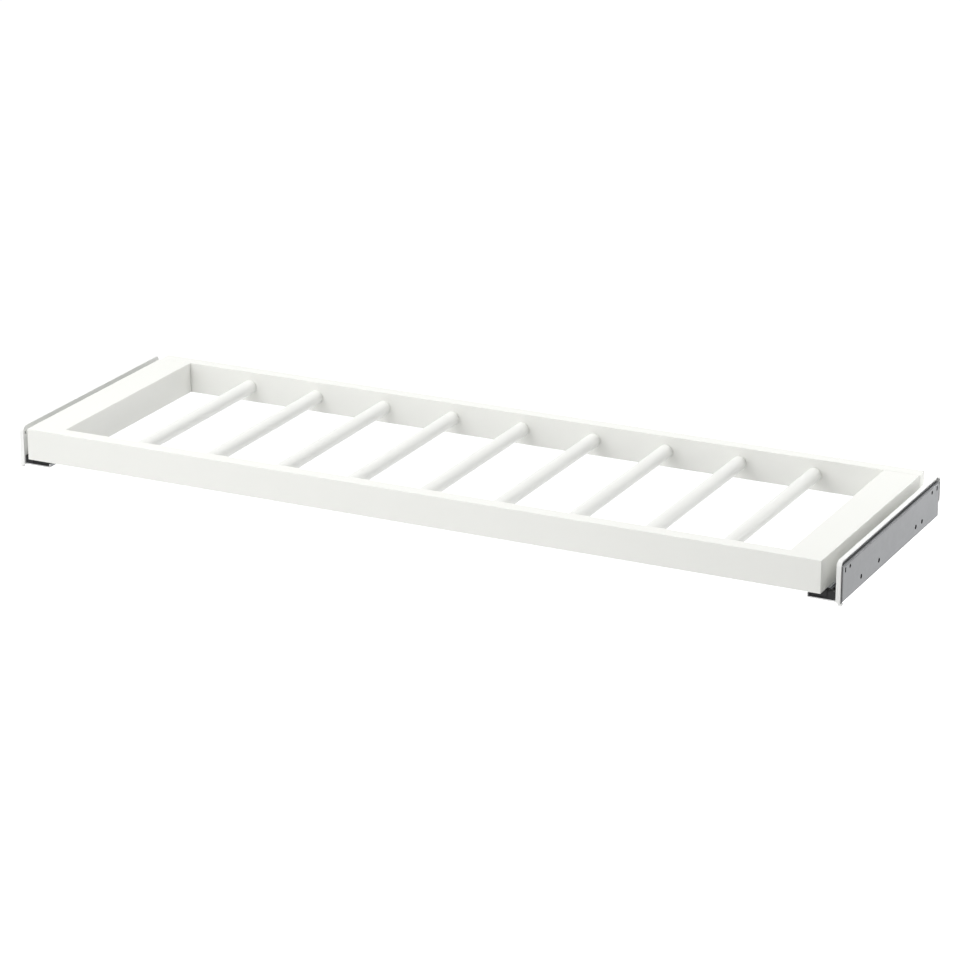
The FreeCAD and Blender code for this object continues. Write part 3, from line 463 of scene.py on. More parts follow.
@dataclass(frozen=True)
class Workpiece:
    """A mesh piece that is shaped with Blender's own operators."""

    item: bpy.types.Object

    @classmethod
    def fresh(cls, name: str) -> "Workpiece":
        """Name the primitive that was just added and fix its place in its mesh."""
        bpy.ops.object.transform_apply(location=True, rotation=True, scale=True)
        return cls(rename(bpy.context.object, name))

    @classmethod
    def box(cls, name: str, x: Span, y: Span, z: Span) -> "Workpiece":
        """A box between two values on each axis.

        Args:
            name: Name of the piece.
            x: The two ends along X, in either order.
            y: The two ends along Y.
            z: The two ends along Z.

        Returns:
            The box.
        """
        bpy.ops.object.select_all(action="DESELECT")
        centre = [sum(ends) / 2 for ends in (x, y, z)]
        bpy.ops.mesh.primitive_cube_add(size=1.0, location=centre)
        bpy.context.object.scale = [abs(ends[1] - ends[0]) for ends in (x, y, z)]
        return cls.fresh(name)

    @classmethod
    def bar(
        cls, name: str, centre: Point, radius: float, length: float, axis: Axis, sides: int = 48
    ) -> "Workpiece":
        """A round bar.

        Args:
            name: Name of the piece.
            centre: Middle of the bar.
            radius: Its radius.
            length: Its length.
            axis: The way that it lies.
            sides: Faces round it.

        Returns:
            The bar.
        """
        bpy.ops.object.select_all(action="DESELECT")
        bpy.ops.mesh.primitive_cylinder_add(
            vertices=sides, radius=radius, depth=length, location=centre, rotation=axis.value
        )
        return cls.fresh(name)

    @classmethod
    def sheet(cls, name: str, path: Sequence[Pair], y: Span) -> "Workpiece":
        """A thin sheet, drawn out edge by edge along its profile.

        Args:
            name: Name of the piece.
            path: Corners of the profile as x and z.
            y: Front and rear end.

        Returns:
            The open sheet, without thickness.
        """
        corners = [Vector((across, 0.0, up)) for across, up in path]
        first = corners[1] - corners[0]
        middle = (corners[0] + corners[1]) / 2
        turn = (0.0, -math.atan2(first.z, first.x), 0.0)
        bpy.ops.object.select_all(action="DESELECT")
        bpy.ops.mesh.primitive_plane_add(
            size=1.0, location=(middle.x, sum(y) / 2, middle.z), rotation=turn
        )
        bpy.context.object.scale = (first.length, abs(y[1] - y[0]), 1.0)
        piece = cls.fresh(name)
        with piece.editing():
            piece.pick_edges(edges_at(x=corners[1].x, z=corners[1].z))
            for here, there in zip(corners[1:], corners[2:]):
                bpy.ops.mesh.extrude_region_move(TRANSFORM_OT_translate={"value": there - here})
        return piece

    def activate(self, *others: "Workpiece") -> None:
        """Make this the active piece, and select only it and the others.

        Args:
            *others: The other pieces.
        """
        bpy.ops.object.select_all(action="DESELECT")
        for piece in (self, *others):
            piece.item.select_set(True)
        bpy.context.view_layer.objects.active = self.item

    @contextmanager
    def editing(self) -> Iterator[None]:
        """Work in edit mode, with only this piece active and nothing selected in it."""
        self.activate()
        bpy.ops.object.mode_set(mode="EDIT")
        bpy.ops.mesh.select_all(action="DESELECT")
        yield
        bpy.ops.object.mode_set(mode="OBJECT")

    def pick_faces(self, wanted: Test) -> None:
        """Select the faces that a test accepts, and nothing else.

        Args:
            wanted: Test of a face's centre and normal.
        """
        bpy.ops.mesh.select_mode(type="FACE")
        mesh = bmesh.from_edit_mesh(self.item.data)
        for face in mesh.faces:
            face.select_set(bool(wanted(face.calc_center_median(), face.normal)))
        bmesh.update_edit_mesh(self.item.data)

    def pick_edges(self, wanted: Test) -> None:
        """Select the edges that a test accepts, and nothing else.

        Args:
            wanted: Test of an edge's two ends.
        """
        bpy.ops.mesh.select_mode(type="EDGE")
        mesh = bmesh.from_edit_mesh(self.item.data)
        for edge in mesh.edges:
            edge.select_set(False)
        for edge in mesh.edges:
            if wanted(edge.verts[0].co, edge.verts[1].co):
                edge.select_set(True)
        bmesh.update_edit_mesh(self.item.data)

    def extrude(self, wanted: Test, offset: Point) -> None:
        """Draw selected faces out by an offset.

        Args:
            wanted: Test of a face's centre and normal.
            offset: How far, along each axis.
        """
        with self.editing():
            self.pick_faces(wanted)
            bpy.ops.mesh.extrude_region_move(TRANSFORM_OT_translate={"value": offset})

    def round_edges(self, wanted: Test, radius: float, segments: int = 3) -> None:
        """Round chosen edges.

        Args:
            wanted: Test of an edge's two ends.
            radius: Radius of the rounding.
            segments: Faces across it.
        """
        with self.editing():
            self.pick_edges(wanted)
            bpy.ops.mesh.bevel(
                offset=radius, segments=segments, affect="EDGES", clamp_overlap=False
            )

    def split(self, point: Point, normal: Point) -> None:
        """Cut all faces along a plane and keep both halves.

        Args:
            point: A point of the plane.
            normal: The plane's normal.
        """
        with self.editing():
            bpy.ops.mesh.select_all(action="SELECT")
            bpy.ops.mesh.bisect(plane_co=point, plane_no=normal)

    def apply(self, kind: str, **settings: object) -> "Workpiece":
        """Add a modifier and apply it.

        Args:
            kind: Blender's name of the modifier.
            **settings: Its settings.

        Returns:
            The piece itself.
        """
        self.activate()
        modifier = self.item.modifiers.new(kind.lower(), kind)
        for name, setting in settings.items():
            setattr(modifier, name, setting)
        bpy.ops.object.modifier_apply(modifier=modifier.name)
        return self

    def soften(self, width: float, segments: int = 2) -> "Workpiece":
        """Break all sharp edges to a width, with so many faces across it."""
        limit = {"limit_method": "ANGLE", "angle_limit": SHARP_ANGLE}
        return self.apply("BEVEL", width=width, segments=segments, **limit)

    def combine(self, way: Merge, tools: Sequence["Workpiece"]) -> "Workpiece":
        """Join other pieces to this one, or cut them out of it, and remove them.

        Args:
            way: Join or cut.
            tools: The other pieces.

        Returns:
            The piece itself.
        """
        for tool in tools:
            self.apply("BOOLEAN", operation=way.value, solver="EXACT", object=tool.item)
            bpy.data.objects.remove(tool.item)
        return self

    def gather(self, others: Sequence["Workpiece"]) -> "Workpiece":
        """Take other pieces into this object, each as a shell of its own.

        Args:
            others: The other pieces.

        Returns:
            The piece itself.
        """
        self.activate(*others)
        bpy.ops.object.join()
        return self

    def copy(self, name: str, offset: Point) -> "Workpiece":
        """A copy with a mesh of its own, set off from this one.

        Args:
            name: Name of the copy.
            offset: Where it goes, from this piece.

        Returns:
            The copy.
        """
        item = self.item.copy()
        item.data = self.item.data.copy()
        item.data.transform(Matrix.Translation(offset))
        bpy.context.scene.collection.objects.link(item)
        return Workpiece(rename(item, name))

    def install(self, body: str, finish: Finish, *nodes: str) -> None:
        """Finish the surface, hang the piece on its body and hide what it replaces.

        Args:
            body: Name of the body that it rides on.
            finish: Its surface finish.
            *nodes: The frame's nodes that it stands for.
        """
        with self.editing():
            bpy.ops.mesh.select_all(action="SELECT")
            bpy.ops.mesh.remove_doubles(threshold=WELD)
            bpy.ops.mesh.normals_make_consistent(inside=False)
        bpy.ops.object.shade_smooth_by_angle(angle=SMOOTH_ANGLE)
        self.apply("WEIGHTED_NORMAL", keep_sharp=True)
        self.item.data.materials.clear()
        self.item.data.materials.append(finish.material())
        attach(self.item, body)
        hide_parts(*nodes)
        faces = len(self.item.data.polygons)
        LOG.info("%s: %d faces, rides on %s", self.item.name, faces, body)

    def refinish(self, finish: Finish, wanted: Test) -> None:
        """Give chosen faces another finish than the rest.

        Args:
            finish: Their finish.
            wanted: Test of a face's centre and normal.
        """
        mesh = self.item.data
        mesh.materials.append(finish.material())
        for face in mesh.polygons:
            if wanted(face.center, face.normal):
                face.material_index = len(mesh.materials) - 1


def dress(node: str, finish: Finish) -> None:
    """Give one of the frame's own nodes its finish.

    Args:
        node: Name of the node.
        finish: The finish.
    """
    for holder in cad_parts[node].material_slots:
        holder.material = finish.material()
    LOG.info("%s: dressed as %s", node, finish.slot)


# --- the rack's sub-assemblies ------------------------------------------------------


@dataclass(frozen=True)
class Bore:
    """A hole that crosses from a cross board into the end of a side board."""

    inset: float
    height: float
    cross_radius: float
    side_radius: float
    cross_depth: float
    side_depth: float


@dataclass(frozen=True)
class BoardFrame:
    """The four foil-wrapped boards and the joints hidden in their corners."""

    half_width: float = 462.5 * MM
    half_depth: float = 150.0 * MM
    thickness: float = 16.0 * MM
    side_width: float = 39.5 * MM
    base: float = 14.2 * MM
    top: float = 49.5 * MM
    rounding: float = 0.6 * MM
    tight_edge: float = 0.12 * MM
    seam_edge: float = 0.4 * MM
    joint_gap: float = 0.8 * MM
    seat_radius: float = 8.05 * MM
    seat_depth: float = 10.0 * MM
    seat_sides: int = 96
    cam_place: Pair = (435.5 * MM, 110.0 * MM)
    cam_radius: float = 7.5 * MM
    cam_depth: float = 13.0 * MM
    cam_sides: int = 64
    pilot_radius: float = 1.8 * MM
    pilot_depth: float = 14.3 * MM
    bores: tuple[Bore, ...] = (
        Bore(9.5 * MM, 17.0 * MM, 4.05 * MM, 4.05 * MM, 10.05 * MM, 20.05 * MM),
        Bore(27.0 * MM, 26.5 * MM, 4.05 * MM, 4.05 * MM, 10.05 * MM, 20.05 * MM),
        Bore(27.0 * MM, 8.5 * MM, 3.05 * MM, 3.65 * MM, 11.05 * MM, 28.05 * MM),
    )

    @property
    def joint(self) -> float:
        """Distance of the joints from the middle of the frame."""
        return self.half_depth - self.thickness

    def build(self) -> None:
        """Saw, round and bore the boards, and dress what joins them."""
        self.cross_board("front_crossboard", End.LOW, self.tight_edge, "front_board")
        self.cross_board("back_crossboard", End.HIGH, self.seam_edge, "back_board")
        for side in Side:
            self.side_board(side)
        dress("corner_dowels", BEECH)
        dress("cam_bolts", ZINC)
        dress("cam_locks", ZINC)

    def drill(
        self, place: Point, radius: float, depth: float, axis: Axis, sides: int = 32
    ) -> Workpiece:
        """Tool for a blind hole, which reaches as far out of the board as into it."""
        return Workpiece.bar("drill", place, radius, 2 * depth, axis, sides)

    def mouth(self, side: Side, end: End, bore: Bore) -> Point:
        """Where a bore crosses the joint at one end of a side board."""
        x = side.value * (self.half_width - bore.inset)
        return (x, end.value * self.joint, self.base + bore.height)

    def cross_board(self, name: str, end: End, inner_edge: float, node: str) -> None:
        """The front or the back board, with its seats for rods, dowels and bolts.

        Args:
            name: Name of the piece.
            end: The end of the frame that it closes.
            inner_edge: Rounding of the edges towards the rods.
            node: The node that it stands for.
        """
        outside, joint = end.value * self.half_depth, end.value * self.joint
        at_joint = edges_at(y=joint)
        width = (-self.half_width, self.half_width)
        board = Workpiece.box(name, width, (outside, joint), (self.base, self.top))
        board.round_edges(lambda a, b: not at_joint(a, b), self.rounding)
        board.round_edges(at_joint, inner_edge)
        middle = (self.base + self.top) / 2
        seat = (self.seat_radius, self.seat_depth, Axis.Y, self.seat_sides)
        tools = [self.drill((x, joint, middle), *seat) for x in HangingRods().stations()]
        for side in Side:
            for bore in self.bores:
                place = self.mouth(side, end, bore)
                tools.append(self.drill(place, bore.cross_radius, bore.cross_depth, Axis.Y))
        board.combine(Merge.CUT, tools)
        board.install(Body.RACK.value, FOIL, node)

    def side_board(self, side: Side) -> None:
        """A side board, with its holes for dowels, bolts, cams and runner screws.

        Args:
            side: Which one.
        """
        x = [side.value * edge for edge in (self.half_width, self.half_width - self.side_width)]
        ends = (-self.joint, self.joint - self.joint_gap)
        board = Workpiece.box(f"{side.word}_board", x, ends, (self.base, self.top))
        board.round_edges(edges_at("xz"), self.rounding)
        tools = []
        for end in End:
            for bore in self.bores:
                place = self.mouth(side, end, bore)
                tools.append(self.drill(place, bore.side_radius, bore.side_depth, Axis.Y))
            cam = (side.value * self.cam_place[0], end.value * self.cam_place[1], self.base)
            tools.append(self.drill(cam, self.cam_radius, self.cam_depth, Axis.Z, self.cam_sides))
        for station in BallRunner.fasteners:
            spot = (side.value * BallRunner.centre, station, self.base)
            tools.append(self.drill(spot, self.pilot_radius, self.pilot_depth, Axis.Z))
        board.combine(Merge.CUT, tools)
        board.install(Body.RACK.value, FOIL, f"{side.word}_side_board")


@dataclass(frozen=True)
class HangingRods:
    """Nine coated tubes across the frame."""

    count: int = 9
    pitch: float = 86.2 * MM
    radius: float = 8.0 * MM
    wall: float = 1.0 * MM
    length: float = 287.9 * MM
    height: float = 31.85 * MM
    end_radius: float = 0.3 * MM
    sides: int = 96

    def stations(self) -> list[float]:
        """x of every rod."""
        return [(number - (self.count - 1) / 2) * self.pitch for number in range(self.count)]

    def build(self) -> None:
        """Model one tube and set nine copies into the frame."""
        middle = (0.0, 0.0, self.height)
        pattern = Workpiece.bar("rod_pattern", middle, self.radius, self.length, Axis.Y, self.sides)
        with pattern.editing():
            pattern.pick_faces(lambda centre, normal: abs(normal.y) > FACING)
            bpy.ops.mesh.inset(thickness=self.wall, use_individual=True)
            bpy.ops.mesh.bridge_edge_loops()
        rims = [edges_at(y=end.value * self.length / 2) for end in End]
        pattern.round_edges(
            lambda a, b: any(rim(a, b) for rim in rims), self.end_radius, segments=2
        )
        for number, x in enumerate(self.stations(), start=1):
            rod = pattern.copy(f"rod_{number}", (x, 0.0, 0.0))
            rod.install(Body.RACK.value, POWDER, f"hanging_rod_{number}")
        bpy.data.objects.remove(pattern.item)


@dataclass(frozen=True)
class SideRail:
    """One wardrobe rail: the steel profile with the white cover snapped on it."""

    side: Side
    outer_face: float = 481.0 * MM
    front: float = -137.0 * MM
    rear: float = 144.5 * MM
    sheet: float = 1.5 * MM
    edge: float = 0.3 * MM
    flange_width: float = 38.0 * MM
    base: float = 3.1 * MM
    lip_top: float = 7.7 * MM
    plate_top: float = 41.8 * MM
    plate_return: float = 4.2 * MM
    bend: float = 1.05 * MM
    bend_outside: float = 1.8 * MM
    punch_length: float = 6.0 * MM
    fixing_row: float = 13.9 * MM
    fixing_holes: tuple[float, ...] = (-85.0 * MM, 75.0 * MM, -34.0 * MM, 94.0 * MM)
    fixing_radius: float = 2.5 * MM
    upper_row: float = 36.4 * MM
    upper_holes: Pair = (-118.0 * MM, 123.0 * MM)
    upper_radius: float = 2.1 * MM
    rivet_radius: float = 2.05 * MM
    slots: Pair = (-130.8 * MM, 138.3 * MM)
    slot_size: Pair = (3.0 * MM, 5.4 * MM)
    cover_inner: float = 474.5 * MM
    cover_front: float = -139.5 * MM
    cover_rear: float = 149.3 * MM
    cover_base: float = 4.9 * MM
    cover_top: float = 47.2 * MM
    cover_depth: float = 6.2 * MM
    rim_setback: float = 1.3 * MM
    cover_wall: float = 1.2 * MM
    front_wall: float = 2.2 * MM
    cover_corner: float = 6.0 * MM
    rear_web: float = 12.0 * MM
    rear_rim_base: float = 19.1 * MM
    toe_tip: float = 4.8 * MM
    toe_length: float = 5.0 * MM
    toe_top: float = 2.8 * MM
    toe_edge: float = 0.25 * MM
    toe_skin: float = 0.02 * MM
    leg_top: float = 4.6 * MM
    tongue_reach: float = 5.5 * MM
    tongue_size: Pair = (2.4 * MM, 4.8 * MM)
    tongue_taper: Point = (1.0, 0.25, 0.6)
    tongue_edge: float = 0.15 * MM
    window: Pair = (-134.9 * MM, 39.1 * MM)
    window_size: float = 2.6 * MM
    beyond: float = 10.0 * MM
    hole_margin: float = 1.0 * MM
    hole_skin: float = 0.05 * MM

    def build(self) -> None:
        """Model the profile and its cover."""
        self.profile()
        self.cover()

    def inward(self, distance: float) -> float:
        """x of a point inwards from the plate's outer face."""
        return self.side.value * (self.outer_face - distance)

    def outward(self, distance: float) -> float:
        """x of a point outwards from the cover's inner face."""
        return self.side.value * (self.cover_inner + distance)

    def profile(self) -> None:
        """Fold the sheet and punch its holes, then paint shade onto its bends, return, sheared ends
        and hole walls and a highlight onto the flange's front end.
        """
        half = self.sheet / 2
        flange, plate = self.base + half, self.plate_top - half
        path = [
            (self.inward(self.flange_width - half), self.lip_top),
            (self.inward(self.flange_width - half), flange),
            (self.inward(half), flange),
            (self.inward(half), plate),
            (self.inward(self.plate_return), plate),
        ]
        piece = Workpiece.sheet(f"{self.side.word}_profile", path, (self.front, self.rear))
        bends = [edges_at(x=across, z=up) for across, up in path[1:-1]]
        piece.round_edges(lambda a, b: any(bend(a, b) for bend in bends), self.bend, segments=5)
        piece.apply("SOLIDIFY", thickness=self.sheet, offset=0.0, use_even_offset=True)
        piece.soften(self.edge)
        piece.combine(Merge.CUT, self.punches())
        piece.install(Body.RAILS.value, GALVANISED, f"{self.side.word}_rail_profile")
        # Painted shade on the bends, the return's top, the plate's sheared ends and the hole walls,
        # and a painted highlight on the flange's front end.
        piece.refinish(SHADED_BEND_STEEL, self.is_shaded_bend)
        piece.refinish(SHADED_RETURN_STEEL, self.is_return)
        piece.refinish(HIGHLIT_FLANGE_STEEL, self.is_flange_end)
        piece.refinish(SHADED_CUT_STEEL, self.is_sheared_end)
        piece.refinish(SHADED_HOLE_STEEL, self.is_hole_wall)

    def depth_of(self, centre: Vector) -> float:
        """How far behind the plate's outer face a face of the sheet is."""
        return self.outer_face - abs(centre.x)

    def is_shaded_bend(self, centre: Vector, normal: Vector) -> bool:
        """Whether a face is on one of the plate's outer bends, which get painted shade."""
        turned = LEANING < abs(normal.z) < FLAT and normal.x * self.side.value > LEANING
        return turned and self.depth_of(centre) < self.bend_outside

    def is_return(self, centre: Vector, normal: Vector) -> bool:
        """Whether a face is the top of the narrow return along the plate, which gets painted shade
        from the cover's rim above it.
        """
        return normal.z >= FLAT and at(centre.z, self.plate_top)

    def is_flange_end(self, centre: Vector, normal: Vector) -> bool:
        """Whether a face is on the flange's sheared front end, which gets a painted highlight."""
        return normal.y < -SHEARED and self.depth_of(centre) > self.bend_outside

    def is_sheared_end(self, centre: Vector, normal: Vector) -> bool:
        """Whether a face is on one of the plate's sheared ends, which get painted shade."""
        return abs(normal.y) > SHEARED and self.depth_of(centre) < self.bend_outside

    def is_hole_wall(self, centre: Vector, normal: Vector) -> bool:
        """Whether a face is the wall of a hole or slot in the plate, which gets painted shade.

        Args:
            centre: The face's centre.
            normal: Its normal, which isn't needed.

        Returns:
            True inside the holes.
        """
        inside = self.hole_skin < self.depth_of(centre) < self.sheet - self.hole_skin
        level = self.base + self.bend_outside < centre.z < self.plate_top - self.bend_outside
        clear = self.front + self.hole_margin < centre.y < self.rear - self.hole_margin
        return inside and level and clear

    def punches(self) -> list[Workpiece]:
        """Tools for the fixing holes, the upper holes, the snap slots and the rivets.

        Returns:
            The tools.
        """
        x, length = self.inward(self.sheet / 2), self.punch_length
        tools = []
        for stations, row, radius in (
            (self.fixing_holes, self.fixing_row, self.fixing_radius),
            (self.upper_holes, self.upper_row, self.upper_radius),
        ):
            for station in stations:
                tools.append(Workpiece.bar("punch", (x, station, row), radius, length, Axis.X))
        across = (x - length / 2, x + length / 2)
        tools += [self.on_row("punch", across, station, self.slot_size) for station in self.slots]
        for station in BallRunner.fasteners:
            spot = (self.side.value * BallRunner.centre, station, self.base)
            tools.append(Workpiece.bar("punch", spot, self.rivet_radius, length, Axis.Z))
        return tools

    def on_row(self, name: str, x: Span, station: float, size: Pair) -> Workpiece:
        """A box on the upper row of holes.

        Args:
            name: Name of the box.
            x: Its two ends along X.
            station: Its middle along Y.
            size: Its size along Y and Z.

        Returns:
            The box.
        """
        y = (station - size[0] / 2, station + size[0] / 2)
        z = (self.upper_row - size[1] / 2, self.upper_row + size[1] / 2)
        return Workpiece.box(name, x, y, z)

    def cover(self) -> None:
        """Mould the tray: wall, rim, toe, snap tongues and window."""
        wall, step = self.cover_wall, self.rear_rim_base
        inner, depth = self.outward(0.0), self.cover_depth
        y, z = (self.cover_front, self.rear), (self.cover_base, self.cover_top)
        piece = Workpiece.box(f"{self.side.word}_cover", (inner, self.outward(depth)), y, z)
        piece.split((0.0, 0.0, step), (0.0, 0.0, 1.0))
        piece.extrude(
            lambda centre, normal: normal.y > FACING and centre.z > step,
            (0.0, self.cover_rear - self.rear, 0.0),
        )
        for end in (self.cover_front, self.cover_rear):
            piece.round_edges(edges_at(y=end, z=self.cover_top), self.cover_corner, segments=10)
        brim = (self.outward(depth - self.rim_setback), self.outward(2 * depth))
        setback_y = (self.cover_front - wall, self.cover_rear - self.cover_corner - wall)
        setback = Workpiece.box("setback", brim, setback_y, (0.0, self.cover_top + wall))
        piece.combine(Merge.CUT, [self.hollow(), setback])
        rim_rear = self.cover_front + self.front_wall
        piece.split((0.0, rim_rear, 0.0), (0.0, 1.0, 0.0))
        piece.extrude(
            lambda centre, normal: normal.z < -FACING
            and at(centre.z, self.cover_base)
            and centre.y < rim_rear,
            (0.0, 0.0, -self.cover_base),
        )
        with piece.editing():
            piece.pick_edges(edges_at(x=inner, z=0.0))
            bpy.ops.transform.translate(value=(0.0, 0.0, self.leg_top))
        piece.soften(self.edge, segments=3)
        piece.combine(Merge.JOIN, [self.tongue(station) for station in self.slots])
        half = self.window_size / 2
        window = Workpiece.box(
            "window",
            (self.outward(-wall), self.outward(2 * wall)),
            *[(middle - half, middle + half) for middle in self.window],
        )
        piece.combine(Merge.CUT, [window]).gather([self.foot()])
        piece.install(Body.RAILS.value, WHITE_PLASTIC, f"{self.side.word}_rail_cover")

    def tongue(self, station: float) -> Workpiece:
        """A snap tongue whose end tapers towards the front of its slot.

        Args:
            station: Middle of the slot along Y.

        Returns:
            The tongue.
        """
        reach = (self.outward(self.cover_wall / 2), self.outward(self.tongue_reach))
        piece = self.on_row("tongue", reach, station, self.tongue_size)
        with piece.editing():
            piece.pick_faces(lambda centre, normal: at(centre.x, reach[1]))
            bpy.ops.transform.resize(value=self.tongue_taper)
            bpy.ops.transform.translate(value=(0.0, -self.tongue_size[0] / 4, 0.0))
        return piece.soften(self.tongue_edge)

    def hollow(self) -> Workpiece:
        """Tool for the tray's inside, open below and behind the lower part.

        Returns:
            The tool.
        """
        wall, step, beyond = self.cover_wall, self.rear_rim_base, self.beyond
        front, rear = self.cover_front + self.front_wall, self.cover_rear - wall
        top = self.cover_top - wall
        depth = (self.outward(wall), self.outward(self.cover_depth + beyond))
        tool = Workpiece.box("hollow", depth, (front, self.rear), (self.cover_base - beyond, top))
        for level in (step, step + wall):
            tool.split((0.0, 0.0, level), (0.0, 0.0, 1.0))
        tool.extrude(
            lambda centre, normal: normal.y > FACING and centre.z > step + wall,
            (0.0, rear - self.rear, 0.0),
        )
        tool.extrude(
            lambda centre, normal: normal.y > FACING and centre.z < step, (0.0, beyond, 0.0)
        )
        tool.round_edges(edges_at(y=front, z=top), self.cover_corner - wall, segments=10)
        tool.round_edges(edges_at(y=rear, z=top), self.rear_web, segments=12)
        return tool

    def foot(self) -> Workpiece:
        """The foot of the toe, which reaches back under the steel.

        Returns:
            The foot, with the toe's slope on its inner side.
        """
        x = (self.outward(0.0), self.outward(self.cover_depth))
        y = (self.cover_front + self.toe_skin, self.cover_front + self.toe_length)
        piece = Workpiece.box("foot", x, y, (0.0, self.toe_top))
        slope = Vector((self.side.value * self.leg_top, 0.0, self.toe_tip))
        with piece.editing():
            bpy.ops.mesh.select_all(action="SELECT")
            bpy.ops.mesh.bisect(
                plane_co=(self.outward(self.toe_tip + self.toe_skin), 0.0, 0.0),
                plane_no=slope.normalized(),
                clear_inner=True,
                use_fill=True,
                threshold=self.toe_skin / 10,
            )
        return piece.soften(self.toe_edge)


@dataclass(frozen=True)
class Channel:
    """Section of a roll-formed channel: half widths, and heights above the flange."""

    outer_half: float
    inner_half: float
    underside: float
    floor: float
    top: float


@dataclass(frozen=True)
class Pin:
    """An upright round part of a fastener, of which one end may be rounded."""

    middle: float
    radius: float
    length: float
    end: End | None = None
    rounding: float = 0.0
    segments: int = 4
    sides: int = 48

    def stand(self, x: float, y: float) -> Workpiece:
        """Model the pin at a place.

        Args:
            x: Its place along X.
            y: Its place along Y.

        Returns:
            The pin.
        """
        place = (x, y, self.middle)
        pin = Workpiece.bar("pin", place, self.radius, self.length, Axis.Z, self.sides)
        if self.end is not None:
            rim = edges_at(z=self.middle + self.end.value * self.length / 2)
            pin.round_edges(rim, self.rounding, self.segments)
        return pin


@dataclass(frozen=True)
class BallRunner:
    """The two ball runners; each part is modelled on the right and copied to the left.

    Halves are half widths, and levels are heights above the rail's flange.
    """

    centre: float = 455.5 * MM
    floor: float = 4.6 * MM
    front: float = -129.0 * MM
    rear: float = 136.2 * MM
    track_rear: float = 136.0 * MM
    fasteners: tuple[float, ...] = (-107.0 * MM, -7.0 * MM, 93.0 * MM)
    ball_height: float = 5.2 * MM
    groove: float = 1.3 * MM
    groove_length: float = 400.0 * MM
    groove_sides: int = 64
    outer_groove: float = 8.4 * MM
    inner_groove: float = 5.2 * MM
    roll: float = 1.1 * MM
    edge: float = 0.1 * MM
    hole_length: float = 3.0 * MM
    tab_half: float = 2.6 * MM
    tab_length: float = 4.0 * MM
    track_section: Channel = Channel(10.5 * MM, 9.3 * MM, 0.0, 1.2 * MM, 7.8 * MM)
    track_tab: Pair = (1.0 * MM, 1.8 * MM)
    track_web: float = 0.6 * MM
    rivet_hole: float = 2.05 * MM
    middle_section: Channel = Channel(7.5 * MM, 6.1 * MM, 2.0 * MM, 3.0 * MM, 7.4 * MM)
    middle_setback: float = 1.0 * MM
    middle_front_tab: Pair = (2.8 * MM, 3.6 * MM)
    middle_rear_tab: Pair = (1.4 * MM, 2.2 * MM)
    hat_half: float = 4.3 * MM
    hat_levels: Pair = (3.8 * MM, 8.6 * MM)
    hat_tab: Pair = (3.2 * MM, 4.0 * MM)
    hollow_half: float = 3.3 * MM
    hollow_levels: Pair = (3.0 * MM, 8.4 * MM)
    web_half: float = 9.0 * MM
    web_levels: Pair = (8.4 * MM, 9.6 * MM)
    screw_hole: float = 1.8 * MM
    stop_half: float = 10.5 * MM
    stop_y: Pair = (136.5 * MM, 144.0 * MM)
    stop_levels: Pair = (0.0, 8.9 * MM)
    stop_rounding: float = 1.6 * MM
    stop_edge: float = 0.25 * MM
    cap_half: float = 9.0 * MM
    cap_y: Pair = (-136.5 * MM, -129.5 * MM)
    cap_levels: Pair = (1.8 * MM, 9.4 * MM)
    cap_rounding: float = 0.6 * MM
    cap_edge: float = 0.2 * MM
    plug_half: float = 3.1 * MM
    plug_inset: float = 1.0 * MM
    plug_rear: float = -123.0 * MM
    plug_levels: Pair = (4.0 * MM, 8.2 * MM)
    rivet_head: Pin = Pin(2.65 * MM, 3.5 * MM, 0.9 * MM, End.LOW, 0.6 * MM)
    rivet_shank: Pin = Pin(4.2 * MM, 2.0 * MM, 3.2 * MM)
    screw_head: Pin = Pin(12.1 * MM, 2.9 * MM, 1.8 * MM, End.LOW, 0.7 * MM)
    screw_shank: Pin = Pin(20.4 * MM, 1.75 * MM, 15.2 * MM, End.HIGH, 1.2 * MM, 1, 32)
    recess_arm: Pair = (1.6 * MM, 0.4 * MM)
    recess_z: Pair = (10.6 * MM, 12.3 * MM)

    def build(self) -> None:
        """Model the members, the end pieces and the fasteners, and dress the balls."""
        self.pair(self.track(), "track", Body.RAILS, ZINC, "fixed_track")
        self.pair(self.middle(), "middle", None, ZINC, "middle_member")
        self.pair(self.rack_member(), "member", Body.RACK, ZINC, "rack_member")
        self.pair(self.rear_stop(), "stop", Body.RAILS, BLACK_PLASTIC, "rear_stop")
        self.pair(self.cap(), "cap", Body.RACK, BLACK_PLASTIC, "member_cap")
        self.pair(self.rivets(), "rivets", Body.RAILS, ZINC, "track_rivets")
        self.pair(self.screws(), "screws", Body.RACK, ZINC, "member_screws")
        for side in Side:
            GuideBlock(side).build()
            for ring in ("outer", "inner"):
                dress(f"{side.word}_{ring}_cage", ACETAL)
                dress(f"{side.word}_{ring}_balls", BALL_STEEL)

    def pair(
        self, pattern: Workpiece, name: str, body: Body | None, finish: Finish, node: str
    ) -> None:
        """Set a copy of a part on each side.

        Args:
            pattern: The part, modelled on the right.
            name: Its name, without the side.
            body: The body that it rides on, or None for its side's middle member.
            finish: Its finish.
            node: The node that it stands for, without the side.
        """
        for side in Side:
            shift = (side.value - Side.RIGHT.value) * self.centre
            copy = pattern.copy(f"{side.word}_{name}", (shift, 0.0, 0.0))
            carrier = body.value if body else f"{side.word}_middle"
            copy.install(carrier, finish, f"{side.word}_{node}")
        bpy.data.objects.remove(pattern.item)

    def block(self, name: str, half: float, y: Span, levels: Pair) -> Workpiece:
        """A box across the right runner's middle line, between two levels."""
        x = (self.centre - half, self.centre + half)
        return Workpiece.box(name, x, y, [self.floor + level for level in levels])

